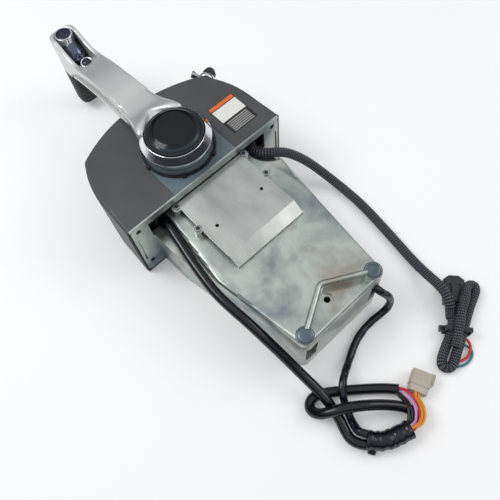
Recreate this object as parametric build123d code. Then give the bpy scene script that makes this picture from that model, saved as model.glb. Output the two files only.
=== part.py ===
from build123d import *

import math
import os

# Single-lever boat throttle and shift control, lying on its side as it would on a bench.
# Lengths are millimetres. The lever pivots about the Z axis through the origin, +Y is up when the
# control is fitted to a console, -Y points down through the deck, and z = 0 is the bench.
# A grey plastic dome in two shells stands on a cast flange. The casting carries on below the flange
# as a tapering case. The lever's shaft runs through the dome, and gears take its turn to a shift arm
# in the case and a throttle arm in the dome.

# General fits
SHAFT_FIT = 0.04            # radial clearance of a turning shaft in its bore
SEAT_FIT = 0.02             # radial clearance of a fixed piece on its seat
LOOSE_FIT = 0.3             # gap round a piece that drops into a recess
SLIDE_FIT = 0.15            # gap round a button that travels
BEYOND = 500.0              # a cut that reaches past everything

# Deck flange of the casting
FLANGE_Y = -41.2            # face that lies on the deck
FLANGE_T = 5.0
FLANGE_HALF_W = 90.0
FLANGE_Z0 = 4.0
FLANGE_Z1 = 79.8
FLANGE_CORNER_R = 3.0
CHEEK_INNER_X = 71.5        # inner edge of the two cheeks beside the case
MOUNT_HOLE_X = FLANGE_HALF_W - 7.5
MOUNT_HOLE_Z = (17.0, 74.0)
MOUNT_HOLE_R = 2.75
CHEEK_SLOT_X = FLANGE_HALF_W - 3.0
CHEEK_SLOT_Z = (24.0, 63.0)
CHEEK_SLOT_W = 2.0
CHEEK_SLOT_DEPTH = 2.5

# Dome shells
DOME_BASE_Y = -39.5
DOME_BASE_HALF_W = FLANGE_HALF_W + 2.5
DOME_BEND_Y = -9.0
DOME_BEND_HALF_W = DOME_BASE_HALF_W - 1.5
DOME_BOW_Y = 25.5
DOME_BOW_HALF_W = DOME_BASE_HALF_W - 6.2
SHOULDER_Y = 54.0
SHOULDER_HALF_W = DOME_BASE_HALF_W - 18.0
SHOULDER_R = 7.0
CROWN_Y = 75.0
DOME_FACE_Z = 83.0
DOME_SPLIT_Z = 41.5
DOME_WALL = 2.8
DOME_EDGE_R = 2.0
DOME_FACE_R = 3.2
CREASE_LEFT = (1.1 - DOME_BASE_HALF_W, -11.0)
CREASE_RIGHT = (DOME_BASE_HALF_W - 10.3, 19.0)
CREASE_TILT = 4.0           # degrees that the face falls away above the crease
LIP_T = 1.4
LIP_H = 2.5
PILLAR_X = DOME_BASE_HALF_W - 16.5
PILLARS = ((-PILLAR_X, -20.0), (PILLAR_X, -20.0), (-38.0, 58.5), (38.0, 58.5))
PILLAR_R = 5.2
PILLAR_HOLE_R = 2.05
DOME_SCREW_R = 2.0
DOME_SCREW_HEAD_R = 3.8
DOME_SCREW_HEAD_H = 2.8
DOME_SCREW_SEAT_Z = 24.0
DOME_SCREW_TIP_Z = 62.0

# Rubber rim between dome and deck
RIM_Y0 = -41.0
RIM_INSET = 0.6

# Panel round the hub
PANEL_HALF_W = 37.0
PANEL_R = 37.0
PANEL_T = 8.0
PANEL_RIM = 3.0
BOSS_BASE_R = 33.5
BOSS_TOP_R = 31.5
BOSS_TOP_Z = DOME_FACE_Z + 5.0
BOSS_BORE_R = 10.0
LUG_RING_R = 36.0
LUG_RING_W = 2.2
LUG_RING_H = 2.0
LUG_COUNT = 6
LUG_SIZE = 3.6

# Lower case of the casting: half widths at places along Y
CASE_TOP_Z = 63.5
CASE_HALF_W_TOP = 70.0
CASE_BEND_Y = -72.0
CASE_HALF_W_BEND = 69.0
CASE_MID_Y = -145.0
CASE_HALF_W_MID = 58.0
CASE_END_Y = -217.0
CASE_HALF_W_END = 49.0
CASE_EDGE_R = 5.0
CASE_WALL = 4.0
CASE_ROOF_T = 4.5
CASE_BACK_Z = 3.0           # the back cover fills z = 0 to here
LEDGE_Z = 52.0              # floor of the cable channels
PAD_EDGE = ((-50.5, -41.2), (-57.3, -88.0), (-61.5, -125.0))
NOTCH_EDGE = ((50.5, -41.2), (54.5, -57.0), (70.5, -68.0))
ROOM_UPPER_HALF_W = 45.0
ROOM_LEDGE_Z = 47.5
ROOM_END_Y = -211.0
ROOM_UPPER_END_Y = -181.0

# End of the case
END_BOSS = (41.3, -208.6)
END_BOSS_R = 8.8
END_BOSS_TOP_R = 8.0
END_BOSS_Z = 66.0
END_DISH_R = 5.8
END_DISH_DEPTH = 0.6
END_POCKET_Z = 55.0
END_RIB_W = 4.0
END_RIB_Z = 65.5
END_APEX_Y = -185.5
END_LIP_Y = -213.5
END_HOLE = (-2.0, -197.0)
END_HOLE_R = 3.0
END_HEX_R = 6.0
END_HEX_DEPTH = 2.5
END_DOOR_X = (33.5, 46.0)
END_DOOR_Z = (17.0, 50.0)

# Cover plate over the mechanism, on four posts
PLATE_TOP_Z = 72.7
PLATE_T = 2.0
PLATE_HALF_W = 40.0
PLATE_Y0 = -41.6
PLATE_Y1 = -114.5
PLATE_LIP_Y = -126.5
PLATE_LIP_Z = 66.0
PLATE_EARS = ((-41.5, -44.6), (41.5, -44.6), (-41.8, -75.7), (41.8, -75.7))
EAR_R = 4.6
POST_R = 4.0
EAR_SCREW_R = 1.9
EAR_SCREW_HEAD_R = 3.4
EAR_SCREW_HEAD_H = 1.4
EAR_SCREW_LENGTH = 12.0
STRIP_Z = PLATE_TOP_Z + EAR_SCREW_HEAD_H + LOOSE_FIT  # lower edge of the flange's strip
PLATE_HOLES = ((-27.2, -84.9), (27.2, -84.9))
PLATE_HOLE_R = 1.7
PLATE_DOTS = ((-12.0, -88.6), (11.0, -90.4))
PLATE_DOT_R = 0.8

# Bearing frame inside the dome
FRAME_X = (-68.0, 37.0)
FRAME_NOTCH = (-44.0, -28.0)  # corner left free for the harness gland
FRAME_Y1 = 32.0
FRAME_T = 4.0
FRAME_FAR_Z = 10.0
FRAME_NEAR_Z = 62.0
FRAME_POSTS = ((-63.0, 26.0), (-63.8, -23.0), (30.0, 25.0), (31.0, -21.0))
FRAME_POST_R = 4.0
FRAME_HUB_R = 11.0
FRAME_HUB_H = 6.0

# Shafts, bushes and gears
SHAFT_R = 6.0
SHAFT_Z0 = 8.0
BUSH_R = 8.5
CLIP_R = 9.0
CLIP_T = 1.0
GEAR_MODULE = 2.0
PRESSURE_ANGLE = 20.0
GEAR_BACKLASH = 0.4
DRIVE_TEETH = 20
SHIFT_TEETH = 40
THROTTLE_TEETH = 24
GEAR_Z0 = 25.0
GEAR_T = 8.0
GEAR_HUB_H = 5.0
SHIFT_SHAFT_R = 5.0
SHIFT_SHAFT_Z = (1.5, 58.5)
SHIFT_ARM_Z = 8.5
SHIFT_ARM_L = 42.0
ARM_T = 4.0
ARM_HUB_R = 9.5
ARM_TIP_R = 6.0
STUD_R = 3.0
THROTTLE_SHAFT_R = 5.0
THROTTLE_ARM_Z = 44.0
THROTTLE_ARM_L = 19.0
DETENT_Z = 39.0
DETENT_T = 5.0
DETENT_R = 15.0
DETENT_NOTCH_R = 2.2
DETENT_STEP = 20.0          # degrees from neutral to the in-gear notches
DETENT_PIN_R = 3.0
DETENT_PIN_L = 11.0
DETENT_TRAVEL = 1.5

# Lever hub
HUB_Z0 = BOSS_TOP_Z + 0.6
HUB_FLOOR_Z = HUB_Z0 + 8.9
HUB_CORE_R = 31.0
SKIRT_TOP_R = 33.4
SKIRT_TOP_Z = HUB_Z0 + 6.8
SKIRT_WALL = 2.4
BEZEL_R = 34.0
BEZEL_EDGE_Z = HUB_Z0 + 9.0
BEZEL_TOP_R = 28.8
BEZEL_TOP_Z = HUB_Z0 + 16.0
RECESS_R = 28.0
TEAR_Y = 39.0               # reach of the recess's corner towards the arm
TEAR_R = 5.0
TEAR_FLOOR_Z = BEZEL_TOP_Z - 5.1
RING_END_Y = 20.0           # the hub's trim rings stop here, where the arm begins
CAP_RING_R = 27.8
CAP_RING_TOP_Z = BEZEL_TOP_Z + 1.0
CAP_R = 25.0
CAP_EDGE_Z = CAP_RING_TOP_Z + 1.6
CAP_TOP_Z = CAP_EDGE_Z + 2.8
CAP_DISC_R = 18.6
CAP_Z0 = HUB_FLOOR_Z + 3.1
CAP_SHELL_T = 3.0
CAP_TRAVEL = 2.5

# Lever arm. Lists give (part of the way from the pivot to the grip, half width) and the same part of
# the way with a height above the hub's underside.
GRIP_Y = 186.0              # from the pivot to the grip
ARM_PLAN = ((0.1075, 27.0), (0.2151, 21.6), (0.3011, 18.4), (0.4301, 16.4), (0.6452, 15.8), (0.8602, 15.2))
ARM_TOP = ((0.0645, 16.2), (0.1613, 16.2), (0.2366, 12.2), (0.3226, 10.8), (0.457, 10.8), (0.6183, 8.2),
           (0.7312, 3.8), (0.8172, 0.8), (0.9032, 4.4), (0.9731, 11.4))
ARM_UNDER = ((0.9462, -28.6), (0.8763, -19.1), (0.8065, -12.1), (0.6989, -6.4), (0.5645, -2.0),
             (0.4301, -0.2), (0.3011, 0.2))
HEAD_HALF_W = 14.6
HEAD_CORNER_R = 8.5
HEAD_Y1 = GRIP_Y + 10.5
HEAD_TOP_Z = HUB_Z0 + 11.4
HEAD_Z0 = HEAD_TOP_Z - 44.0
HEAD_FRONT_Y = GRIP_Y - 9.5
BACK_PLATE_T = 3.4
BACK_PLATE_GAP = 0.3
BACK_PLATE_PLAN = ((0.2151, 17.0), (0.3011, 19.4), (0.4301, 19.3), (0.5914, 18.9), (0.8065, 17.8))
BACK_PLATE_END = 0.8925

# Grip, plunger barrel and trim button
GRIP_Z0 = HEAD_Z0 - 46.0
GRIP_HALF_W = 14.5
GRIP_Y0 = GRIP_Y - 10.5
GRIP_Y1 = GRIP_Y + 11.5
GRIP_ROUND_R = 8.0
TANG_R = 7.0
TANG_Z0 = GRIP_Z0 + 8.0
GRIP_STRAP_Y = GRIP_Y + 7.2
GRIP_STRAP_HALF_W = 8.5
GRIP_STRAP_Z1 = HEAD_TOP_Z - 3.5
BARREL_R = 9.6
BARREL_Z0 = HEAD_TOP_Z - 33.0
BARREL_Z1 = HEAD_TOP_Z + 0.4
BARREL_FLOOR_Z = BARREL_Z0 - 5.0
BARREL_TRAVEL = 4.0
BARREL_BORE_R = 6.0
BARREL_BORE_TOP_Z = BARREL_Z0 + 13.0
BARREL_DISH = 1.2
POCKET_HALF_W = 10.3
POCKET_CURVE = ((0.7204, 5.0), (0.7742, 1.0), (0.828, -5.2), (0.8817, -13.6), (0.9194, -22.6))
TRIM_Y = GRIP_Y * 0.8253
TRIM_Z = HUB_Z0 - 5.0
TRIM_TILT = 36.0            # degrees that the button leans towards the grip
TRIM_LENGTH = 10.0
TRIM_WIDTH = 7.4
TRIM_DEPTH = 5.5
TRIM_BUTTON_H = 4.0
TRIM_TRAVEL = 1.2
TRIM_BEZEL_W = 1.1
TRIM_BEZEL_H = 0.6

# Engine stop switch on the dome's shoulder
SWITCH_BASE = (SHOULDER_HALF_W - 3.0, SHOULDER_Y - 3.5)
SWITCH_DIR = (0.78, 0.626)
SWITCH_Z = 58.0
SWITCH_NECK_R = 6.0
SWITCH_BODY_R = 8.5
SWITCH_BODY_L = 20.0
SWITCH_SEAT_R = 10.5
SWITCH_SEAT_L = 8.0
SWITCH_NUT_R = 9.4
SWITCH_NUT_T = 3.0
SWITCH_NECK_L = 15.0
TOGGLE_R = 5.4
TOGGLE_L = 19.0
TOGGLE_TIP_R = 7.2
TOGGLE_BORE_R = 4.0
TOGGLE_PIN_R = 2.6          # bar that the toggle turns on, across the bore
TOGGLE_PIN_L = 5.6
TOGGLE_STEM_R = 2.2
CLIP_FORK_T = 2.0

# Cords and what is on them. Every route is a list of points that the cord follows on the bench.
HARNESS_R = 4.7
BRAID_R = 4.8
LEAD_R = 3.8
TRUNK_R = 8.8
WIRE_R = 1.3
GLAND_R = 7.2
GLAND_TIP_R = 6.0
GLAND_L = 7.0
END_GLAND_R = 6.0
END_GLAND_L = 9.0
HARNESS_EXIT = (-56.6, -36.2, 59.5)
BRAID_EXIT = (57.5, -36.2, 59.5)
LEAD_EXIT = (39.8, -215.5, 43.0)
HARNESS_ROUTE = (HARNESS_EXIT, (-56.6, -48.0, 59.5), (-59.6, -66.0, 59.0), (-63.6, -88.0, 58.8),
                 (-66.3, -107.0, 58.8), (-68.4, -126.0, 57.6), (-67.6, -146.0, 57.0), (-65.2, -166.0, 53.5),
                 (-63.2, -184.0, 46.0), (-60.6, -201.0, 35.0), (-58.6, -217.0, 24.6), (-57.0, -231.6, 17.4),
                 (-56.4, -243.0, 15.4), (-56.6, -252.6, 12.6), (-57.4, -262.0, 7.4), (-59.2, -271.6, 5.2),
                 (-62.7, -280.4, 4.9), (-64.4, -288.0, 5.6), (-62.5, -294.6, 7.0), (-58.62, -299.84, 7.0))
TRUNK_ROUTE = ((-55.5, -297.5, 9.1), (-50.7, -303.9, 9.1), (-43.4, -309.6, 9.0), (-34.02, -313.44, 9.0),
               (-22.5, -316.8, 9.0))
LOOP_ROUTE = ((-22.08, -315.36, 5.0), (-15.4, -317.3, 5.0), (-9.8, -314.2, 5.1), (-8.8, -307.2, 6.6),
              (-14.4, -298.6, 10.8), (-25.2, -288.0, 16.2), (-36.4, -279.0, 20.2), (-46.4, -271.6, 21.4),
              (-55.6, -265.6, 20.8), (-64.6, -260.6, 17.6), (-71.0, -255.2, 11.8), (-72.4, -247.8, 6.6),
              (-67.0, -242.2, 4.8), (-58.6, -242.4, 4.8), (-49.6, -248.0, 4.8), (-38.6, -256.4, 4.8),
              (-28.2, -264.8, 4.8), (-18.0, -273.4, 4.8), (-9.6, -281.4, 6.0), (-3.4, -288.4, 6.0))
LEAD_ROUTE = (LEAD_EXIT, (39.8, -221.6, 43.0), (44.6, -226.6, 35.4), (49.2, -230.2, 24.4),
              (49.4, -232.2, 12.6), (42.6, -232.4, 5.4), (30.0, -230.6, 4.2), (16.0, -230.8, 4.2),
              (3.0, -233.4, 4.2), (-8.0, -238.0, 4.2), (-18.0, -242.6, 6.6), (-27.0, -246.6, 12.0),
              (-35.4, -251.0, 15.8), (-42.6, -257.2, 14.6), (-47.2, -265.6, 8.4), (-50.6, -274.6, 4.4),
              (-54.2, -282.8, 6.6), (-55.9, -289.8, 12.0), (-52.06, -294.92, 12.0))
BRAID_ROUTE = (BRAID_EXIT, (57.5, -45.4, 59.5), (66.4, -54.0, 59.4), (79.4, -60.6, 55.0),
               (90.8, -67.4, 43.6), (100.6, -75.4, 30.6), (108.6, -86.0, 17.4), (113.8, -100.4, 8.4),
               (115.6, -118.0, 5.2), (114.8, -140.0, 5.0), (111.4, -164.0, 5.0), (107.2, -190.0, 5.0),
               (102.8, -214.0, 5.2), (98.8, -234.0, 8.8), (95.6, -248.6, 15.0), (92.4, -260.4, 17.9),
               (87.8, -270.2, 15.2), (83.4, -276.24, 8.8), (79.6, -279.9, 8.8))
RED_ROUTE = ((-2.95, -288.0, 8.4), (0.0, -291.35, 8.4), (0.5, -297.0, 9.2), (-0.4, -303.4, 10.2),
             (-3.6, -309.8, 12.8), (-9.2, -315.6, 13.8), (-17.24, -320.21, 13.8), (-23.0, -318.53, 13.8))
PINK_ROUTE = ((-4.45, -289.33, 6.4), (-2.2, -291.88, 6.4), (-3.0, -297.4, 7.6), (-3.7, -303.8, 11.0),
              (-7.2, -309.4, 13.0), (-11.4, -313.4, 12.9), (-16.4, -316.4, 13.0), (-22.01, -315.17, 13.0))
ORANGE_ROUTE = ((4.49, -299.83, 12.6), (0.83, -301.43, 12.6), (-1.0, -305.8, 14.4), (-3.8, -311.4, 16.4),
                (-8.4, -316.0, 17.2), (-13.0, -318.0, 17.0), (-16.74, -318.48, 16.8), (-22.5, -316.8, 16.8))
GREY_FRONT = (22.5, -293.6)
GREY_TURN = 23.6            # degrees from +X to the way that the grey connector points
GREY_L = 19.0
GREY_W = 17.6
GREY_H = 14.0
GREY_COLLAR_L = 6.0
BLACK_FRONT = (115.0, -254.8)
BLACK_TURN = 41.3
BLACK_L = 27.0
BLACK_W = 19.0
BLACK_H = 11.0
HANK_LEFT = ((79.6, -279.9), (71.6, -286.4), (57.0, -291.8), (44.6, -298.0), (43.6, -305.2), (53.0, -307.0))
HANK_RIGHT = ((53.0, -307.0), (66.0, -301.9), (78.2, -294.6), (97.6, -287.6), (114.0, -279.6))
HANK_TAIL = ((78.2, -291.0), (88.8, -282.2), (94.72, -272.62))
HANK_START_DIR = (-0.72, -0.694)
HANK_TURN_DIR = (0.96, 0.28)
HANK_END_DIR = (0.84, 0.54)
HANK_TAIL_DIR = (0.751, 0.66)
HANK_W = 10.2
HANK_Z = (1.0, 13.8)
HANK_TAIL_W = 6.0
HANK_TAIL_Z1 = 9.0
TIE_CENTRE = (74.9, -290.5)
TIE_TURN = -51.0
TIE_T = 0.8
TIE_W = 4.0
TIE_SPAN = 24.6


def outline_face(*edges):
    """A flat face on z = 0 inside a closed run of edges."""
    return make_face(list(edges))


def at_height(face, z0, z1):
    """A face on z = 0 carried up from z0 to z1."""
    return Pos(0, 0, z0) * extrude(face, amount=z1 - z0, dir=(0, 0, 1))


def box_between(x, y, z):
    """A box between the two values of each pair."""
    size = Box(x[1] - x[0], y[1] - y[0], z[1] - z[0])
    return Pos((x[0] + x[1]) / 2, (y[0] + y[1]) / 2, (z[0] + z[1]) / 2) * size


def rod(x, y, z0, z1, radius, top_radius=None):
    """A round bar or a cone along Z."""
    middle = Pos(x, y, (z0 + z1) / 2)
    if top_radius is None:
        return middle * Cylinder(radius, z1 - z0)
    return middle * Cone(radius, top_radius, z1 - z0)


def turned(*profile):
    """A solid of revolution about Z from (radius, z) points."""
    points = [(r, 0, z) for r, z in profile]
    return revolve(make_face(Polyline(*points, close=True)), axis=Axis.Z)


def side_profile(points, half_width):
    """A (y, z) outline carried across X to both sides."""
    face = make_face(Polyline(*[(0, y, z) for y, z in points], close=True))
    return extrude(face, amount=half_width, both=True, dir=(1, 0, 0))


def involute_gear(teeth, bore, start_angle):
    """A spur gear's outline: each flank is the involute of its base circle, at five radii."""
    pitch_r = GEAR_MODULE * teeth / 2
    base_r = pitch_r * math.cos(math.radians(PRESSURE_ANGLE))
    root_r = pitch_r - 1.25 * GEAR_MODULE
    tip_r = pitch_r + GEAR_MODULE
    half_tooth = math.pi / (2 * teeth) - GEAR_BACKLASH / (4 * pitch_r)

    def involute(radius):
        roll = math.acos(min(1.0, base_r / radius))
        return math.tan(roll) - roll

    first_r = max(base_r, root_r + 0.2)
    radii = [first_r + (tip_r - first_r) * k / 3 for k in range(4)]
    points = []
    for tooth in range(teeth):
        middle = math.radians(start_angle) + 2 * math.pi * tooth / teeth
        spread = [half_tooth + involute(pitch_r) - involute(radius) for radius in radii]
        points.append((root_r, middle - spread[0] - 0.15 * GEAR_MODULE / pitch_r))
        points += [(radius, middle - turn) for radius, turn in zip(radii, spread)]
        points += [(radius, middle + turn) for radius, turn in zip(reversed(radii), reversed(spread))]
        points.append((root_r, middle + spread[0] + 0.15 * GEAR_MODULE / pitch_r))
    flat = [(r * math.cos(a), r * math.sin(a)) for r, a in points]
    gear = at_height(make_face(Polyline(*flat, close=True)), GEAR_Z0, GEAR_Z0 + GEAR_T)
    hub_r = min(root_r - 2.0, bore + 4.5)
    gear += rod(0, 0, GEAR_Z0 + GEAR_T, GEAR_Z0 + GEAR_T + GEAR_HUB_H, hub_r)
    if teeth > 22:
        web_r = (root_r - 3.0 + hub_r) / 2
        web_hole_r = min((root_r - 3.0 - hub_r) / 2 - 0.5, web_r * 0.4)
        for k in range(6):
            turn = math.radians(60 * k)
            gear -= rod(web_r * math.cos(turn), web_r * math.sin(turn), GEAR_Z0 - 1,
                        GEAR_Z0 + GEAR_T + 1, web_hole_r)
    return gear - rod(0, 0, GEAR_Z0 - 1, GEAR_Z0 + GEAR_T + GEAR_HUB_H + 1, bore + SEAT_FIT)


def helical_spring(x, y, z0, z1, radius, wire_r, turns):
    """A coil spring along Z."""
    helix = Helix((z1 - z0 - 2 * wire_r) / turns, z1 - z0 - 2 * wire_r, radius)
    start = Plane(origin=helix @ 0, z_dir=helix % 0)
    coil = sweep(start * Circle(wire_r), path=helix)
    return Pos(x, y, z0 + wire_r) * coil


def screw_group(places, z_head, head_r, head_h, shank_r, length, downwards):
    """Pan-head screws with a cross slot, all alike, pointing along -Z or +Z."""
    head = rod(0, 0, 0, head_h, head_r)
    head = chamfer(head.edges().sort_by(Axis.Z)[-1], head_h * 0.35)
    head -= box_between((-head_r * 0.55, head_r * 0.55), (-0.4, 0.4), (head_h * 0.5, head_h + 1))
    head -= box_between((-0.4, 0.4), (-head_r * 0.55, head_r * 0.55), (head_h * 0.5, head_h + 1))
    screw = head + rod(0, 0, -length, 0, shank_r)
    if not downwards:
        screw = Rot(180, 0, 0) * screw
    return [Pos(x, y, z_head) * screw for x, y in places]


# Dome shells

def dome_outline(inset=0.0):
    """The dome seen along the pivot: near-straight sides, tight shoulders and a shallow crown."""
    base = (DOME_BASE_HALF_W - inset, DOME_BASE_Y + inset)
    bend = (DOME_BEND_HALF_W - inset, DOME_BEND_Y)
    bow = (DOME_BOW_HALF_W - inset * 0.94, DOME_BOW_Y - inset * 0.3)
    shoulder = (SHOULDER_HALF_W - inset * 0.71, SHOULDER_Y - inset * 0.74)
    crown_y = CROWN_Y - inset
    left = [(-x, y) for x, y in (base, bend, bow, shoulder)]
    face = outline_face(
        Line(base, bend), ThreePointArc(bend, bow, shoulder),
        ThreePointArc(shoulder, (0, crown_y), left[3]),
        ThreePointArc(left[3], left[2], left[1]), Line(left[1], left[0]), Line(left[0], base))
    corners = [v for v in face.vertices() if abs(v.Y - shoulder[1]) < 0.01]
    return fillet(corners, SHOULDER_R - inset)


def crease_plane(drop):
    """The plane that the face follows above the crease, lowered by drop."""
    dx = CREASE_RIGHT[0] - CREASE_LEFT[0]
    dy = CREASE_RIGHT[1] - CREASE_LEFT[1]
    length = math.hypot(dx, dy)
    tilt = math.radians(CREASE_TILT)
    lean = (-dy / length * math.sin(tilt), dx / length * math.sin(tilt), math.cos(tilt))
    origin = (CREASE_LEFT[0], CREASE_LEFT[1], DOME_FACE_Z - drop)
    return Plane(origin=origin, x_dir=(dx, dy, 0), z_dir=lean)


def dome_room(inset, z0, z1):
    """The inside of the dome, open through the base where the flange goes in."""
    room = at_height(dome_outline(inset), z0, z1)
    half_w = DOME_BASE_HALF_W - inset
    return room + box_between((-half_w, half_w), (DOME_BASE_Y - 2, DOME_BASE_Y + inset + 1), (z0, z1))


def panel_keyhole(grow):
    """The outline of the hub panel: a circle round the hub and a straight tongue down to the flange."""
    half_w = PANEL_HALF_W + grow
    tongue = box_between((-half_w, half_w), (DOME_BASE_Y - 3, 0), (0, 1))
    shape = tongue + rod(0, 0, 0, 1, PANEL_R + grow)
    return Pos(0, 0, -1) * shape.faces().sort_by(Axis.Z)[-1]


def flange_mouth():
    """The space that the flange takes up in the dome's mouth."""
    half_w = FLANGE_HALF_W + LOOSE_FIT
    return box_between((-half_w, half_w), (FLANGE_Y - 1, FLANGE_Y + FLANGE_T + LOOSE_FIT),
                       (FLANGE_Z0 - LOOSE_FIT, FLANGE_Z1 + LOOSE_FIT))


def switch_rod(start, length, radius, end_radius=None):
    """A round bar along the stop switch's axis, from start to start + length beyond the shoulder."""
    place = Plane(origin=(SWITCH_BASE[0] + SWITCH_DIR[0] * start, SWITCH_BASE[1] + SWITCH_DIR[1] * start,
                          SWITCH_Z), z_dir=(SWITCH_DIR[0], SWITCH_DIR[1], 0))
    if end_radius is None:
        end_radius = radius
    if end_radius == radius:
        bar = Cylinder(radius, length, align=(Align.CENTER, Align.CENTER, Align.MIN))
    else:
        bar = Cone(radius, end_radius, length, align=(Align.CENTER, Align.CENTER, Align.MIN))
    return place * bar


def rim_edges(shape):
    """The edges between the face and the side wall, without the straight one at the base."""
    crease = crease_plane(0)
    edges = []
    for edge in shape.edges():
        ends = [edge @ 0, edge @ 1]
        on_top = all(p.Z > DOME_FACE_Z - 0.01 or abs(crease.to_local_coords(p).Z) < 0.01 for p in ends)
        across = abs(ends[0].X - ends[1].X) > 2 * DOME_BOW_HALF_W - 10
        if on_top and not (across and edge.geom_type == GeomType.LINE):
            edges.append(edge)
    return edges


def near_cover():
    outer = at_height(dome_outline(), DOME_SPLIT_Z, DOME_FACE_Z)
    outer = split(outer, bisect_by=crease_plane(0), keep=Keep.BOTTOM)
    outer = fillet(rim_edges(outer), DOME_FACE_R)
    room = dome_room(DOME_WALL, DOME_SPLIT_Z - 1, DOME_FACE_Z - DOME_WALL)
    room = split(room, bisect_by=crease_plane(DOME_WALL), keep=Keep.BOTTOM)
    seat = switch_rod(-4, SWITCH_SEAT_L + 4, SWITCH_SEAT_R, SWITCH_SEAT_R - 1.2)
    shell = outer - room + seat
    for x, y in PILLARS:
        pillar = rod(x, y, DOME_SPLIT_Z, DOME_FACE_Z - 1, PILLAR_R, PILLAR_R - 0.6)
        shell += split(pillar, bisect_by=crease_plane(1), keep=Keep.BOTTOM)
        shell -= rod(x, y, DOME_SPLIT_Z - 1, DOME_SCREW_TIP_Z + 4, PILLAR_HOLE_R)
    shell -= at_height(panel_keyhole(LOOSE_FIT), DOME_FACE_Z - DOME_WALL - 6, DOME_FACE_Z + 1)
    shell -= switch_rod(-12, 40, SWITCH_NECK_R + SEAT_FIT)
    return shell - flange_mouth()


def far_cover():
    outer = at_height(dome_outline(), 0, DOME_SPLIT_Z)
    back_edges = [e for e in outer.edges() if e.center().Z < 0.01 and e.center().Y > DOME_BASE_Y + 1]
    outer = chamfer(back_edges, DOME_EDGE_R)
    shell = outer - dome_room(DOME_WALL, DOME_WALL, DOME_SPLIT_Z + 1)
    lip = dome_room(DOME_WALL + SLIDE_FIT, DOME_SPLIT_Z - 4, DOME_SPLIT_Z + LIP_H)
    lip -= dome_room(DOME_WALL + SLIDE_FIT + LIP_T, DOME_SPLIT_Z - 5, DOME_SPLIT_Z + LIP_H + 1)
    lip -= box_between((-BEYOND, BEYOND), (-BEYOND, DOME_BEND_Y - 16), (0, BEYOND))
    root = dome_room(DOME_WALL - 0.5, DOME_SPLIT_Z - 4, DOME_SPLIT_Z - 1)
    root -= dome_room(DOME_WALL + SLIDE_FIT + LIP_T, DOME_SPLIT_Z - 5, DOME_SPLIT_Z)
    root -= box_between((-BEYOND, BEYOND), (-BEYOND, DOME_BEND_Y - 16), (0, BEYOND))
    shell += lip + root
    for x, y in PILLARS:
        shell += rod(x, y, DOME_WALL - 0.5, DOME_SPLIT_Z, PILLAR_R + 0.6, PILLAR_R)
        shell -= rod(x, y, -1, DOME_SCREW_SEAT_Z, DOME_SCREW_HEAD_R + 0.2)
        shell -= rod(x, y, 0, DOME_SPLIT_Z + 1, PILLAR_HOLE_R)
    return shell - flange_mouth()


def dome_screws():
    return screw_group(PILLARS, DOME_SCREW_SEAT_Z, DOME_SCREW_HEAD_R, DOME_SCREW_HEAD_H, DOME_SCREW_R,
                       DOME_SCREW_TIP_Z - DOME_SCREW_SEAT_Z, False)


def deck_rim():
    """Black rubber strip under the dome's edge, round the flange."""
    z_side = FLANGE_Z1 + LOOSE_FIT
    half_w = DOME_BASE_HALF_W - RIM_INSET
    strip = box_between((-half_w, half_w), (RIM_Y0, DOME_BASE_Y), (RIM_INSET, DOME_FACE_Z - RIM_INSET))
    inner_w = FLANGE_HALF_W + LOOSE_FIT
    return strip - box_between((-inner_w, inner_w), (RIM_Y0 - 1, DOME_BASE_Y + 1),
                               (FLANGE_Z0 - LOOSE_FIT, z_side))


def centre_panel():
    """Panel that snaps in round the hub, with the raised boss that the lever turns over."""
    z0 = DOME_FACE_Z - PANEL_T
    panel = split(at_height(panel_keyhole(0), z0, DOME_FACE_Z), bisect_by=crease_plane(0), keep=Keep.BOTTOM)
    flange = at_height(panel_keyhole(PANEL_RIM), z0, DOME_FACE_Z - DOME_WALL - LOOSE_FIT)
    panel += split(flange, bisect_by=crease_plane(DOME_WALL + LOOSE_FIT), keep=Keep.BOTTOM)
    panel -= box_between((-BEYOND, BEYOND), (-BEYOND, DOME_BASE_Y), (0, BEYOND))
    under_z = FLANGE_Z1 + LOOSE_FIT
    panel -= box_between((-BEYOND, BEYOND), (-BEYOND, FLANGE_Y + FLANGE_T + LOOSE_FIT), (0, under_z))
    panel -= rod(0, 0, z0 - 1, DOME_FACE_Z - 3, BOSS_BASE_R - 4)
    panel += rod(0, 0, DOME_FACE_Z - 4, DOME_FACE_Z, BOSS_BASE_R)
    panel += rod(0, 0, DOME_FACE_Z, BOSS_TOP_Z, BOSS_BASE_R, BOSS_TOP_R)
    return panel - rod(0, 0, z0 - 1, BOSS_TOP_Z + 1, BOSS_BORE_R)


def lug_ring():
    """Black trim ring round the boss, with square lugs."""
    z1 = DOME_FACE_Z + LUG_RING_H
    ring = rod(0, 0, DOME_FACE_Z, z1, LUG_RING_R) - rod(0, 0, DOME_FACE_Z - 1, z1 + 1,
                                                        LUG_RING_R - LUG_RING_W)
    half = LUG_SIZE / 2
    for k in range(LUG_COUNT):
        lug = box_between((LUG_RING_R - LUG_RING_W, LUG_RING_R + 1.4), (-half, half), (DOME_FACE_Z, z1 + 1))
        ring += Rot(0, 0, 360 * k / LUG_COUNT) * lug
    return ring


def shaft_seal():
    z1 = BOSS_TOP_Z
    return rod(0, 0, z1 - 4, z1, BOSS_BORE_R - SEAT_FIT) - rod(0, 0, z1 - 5, z1 + 1, SHAFT_R + SHAFT_FIT)


# Casting: deck flange and lower case

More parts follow.
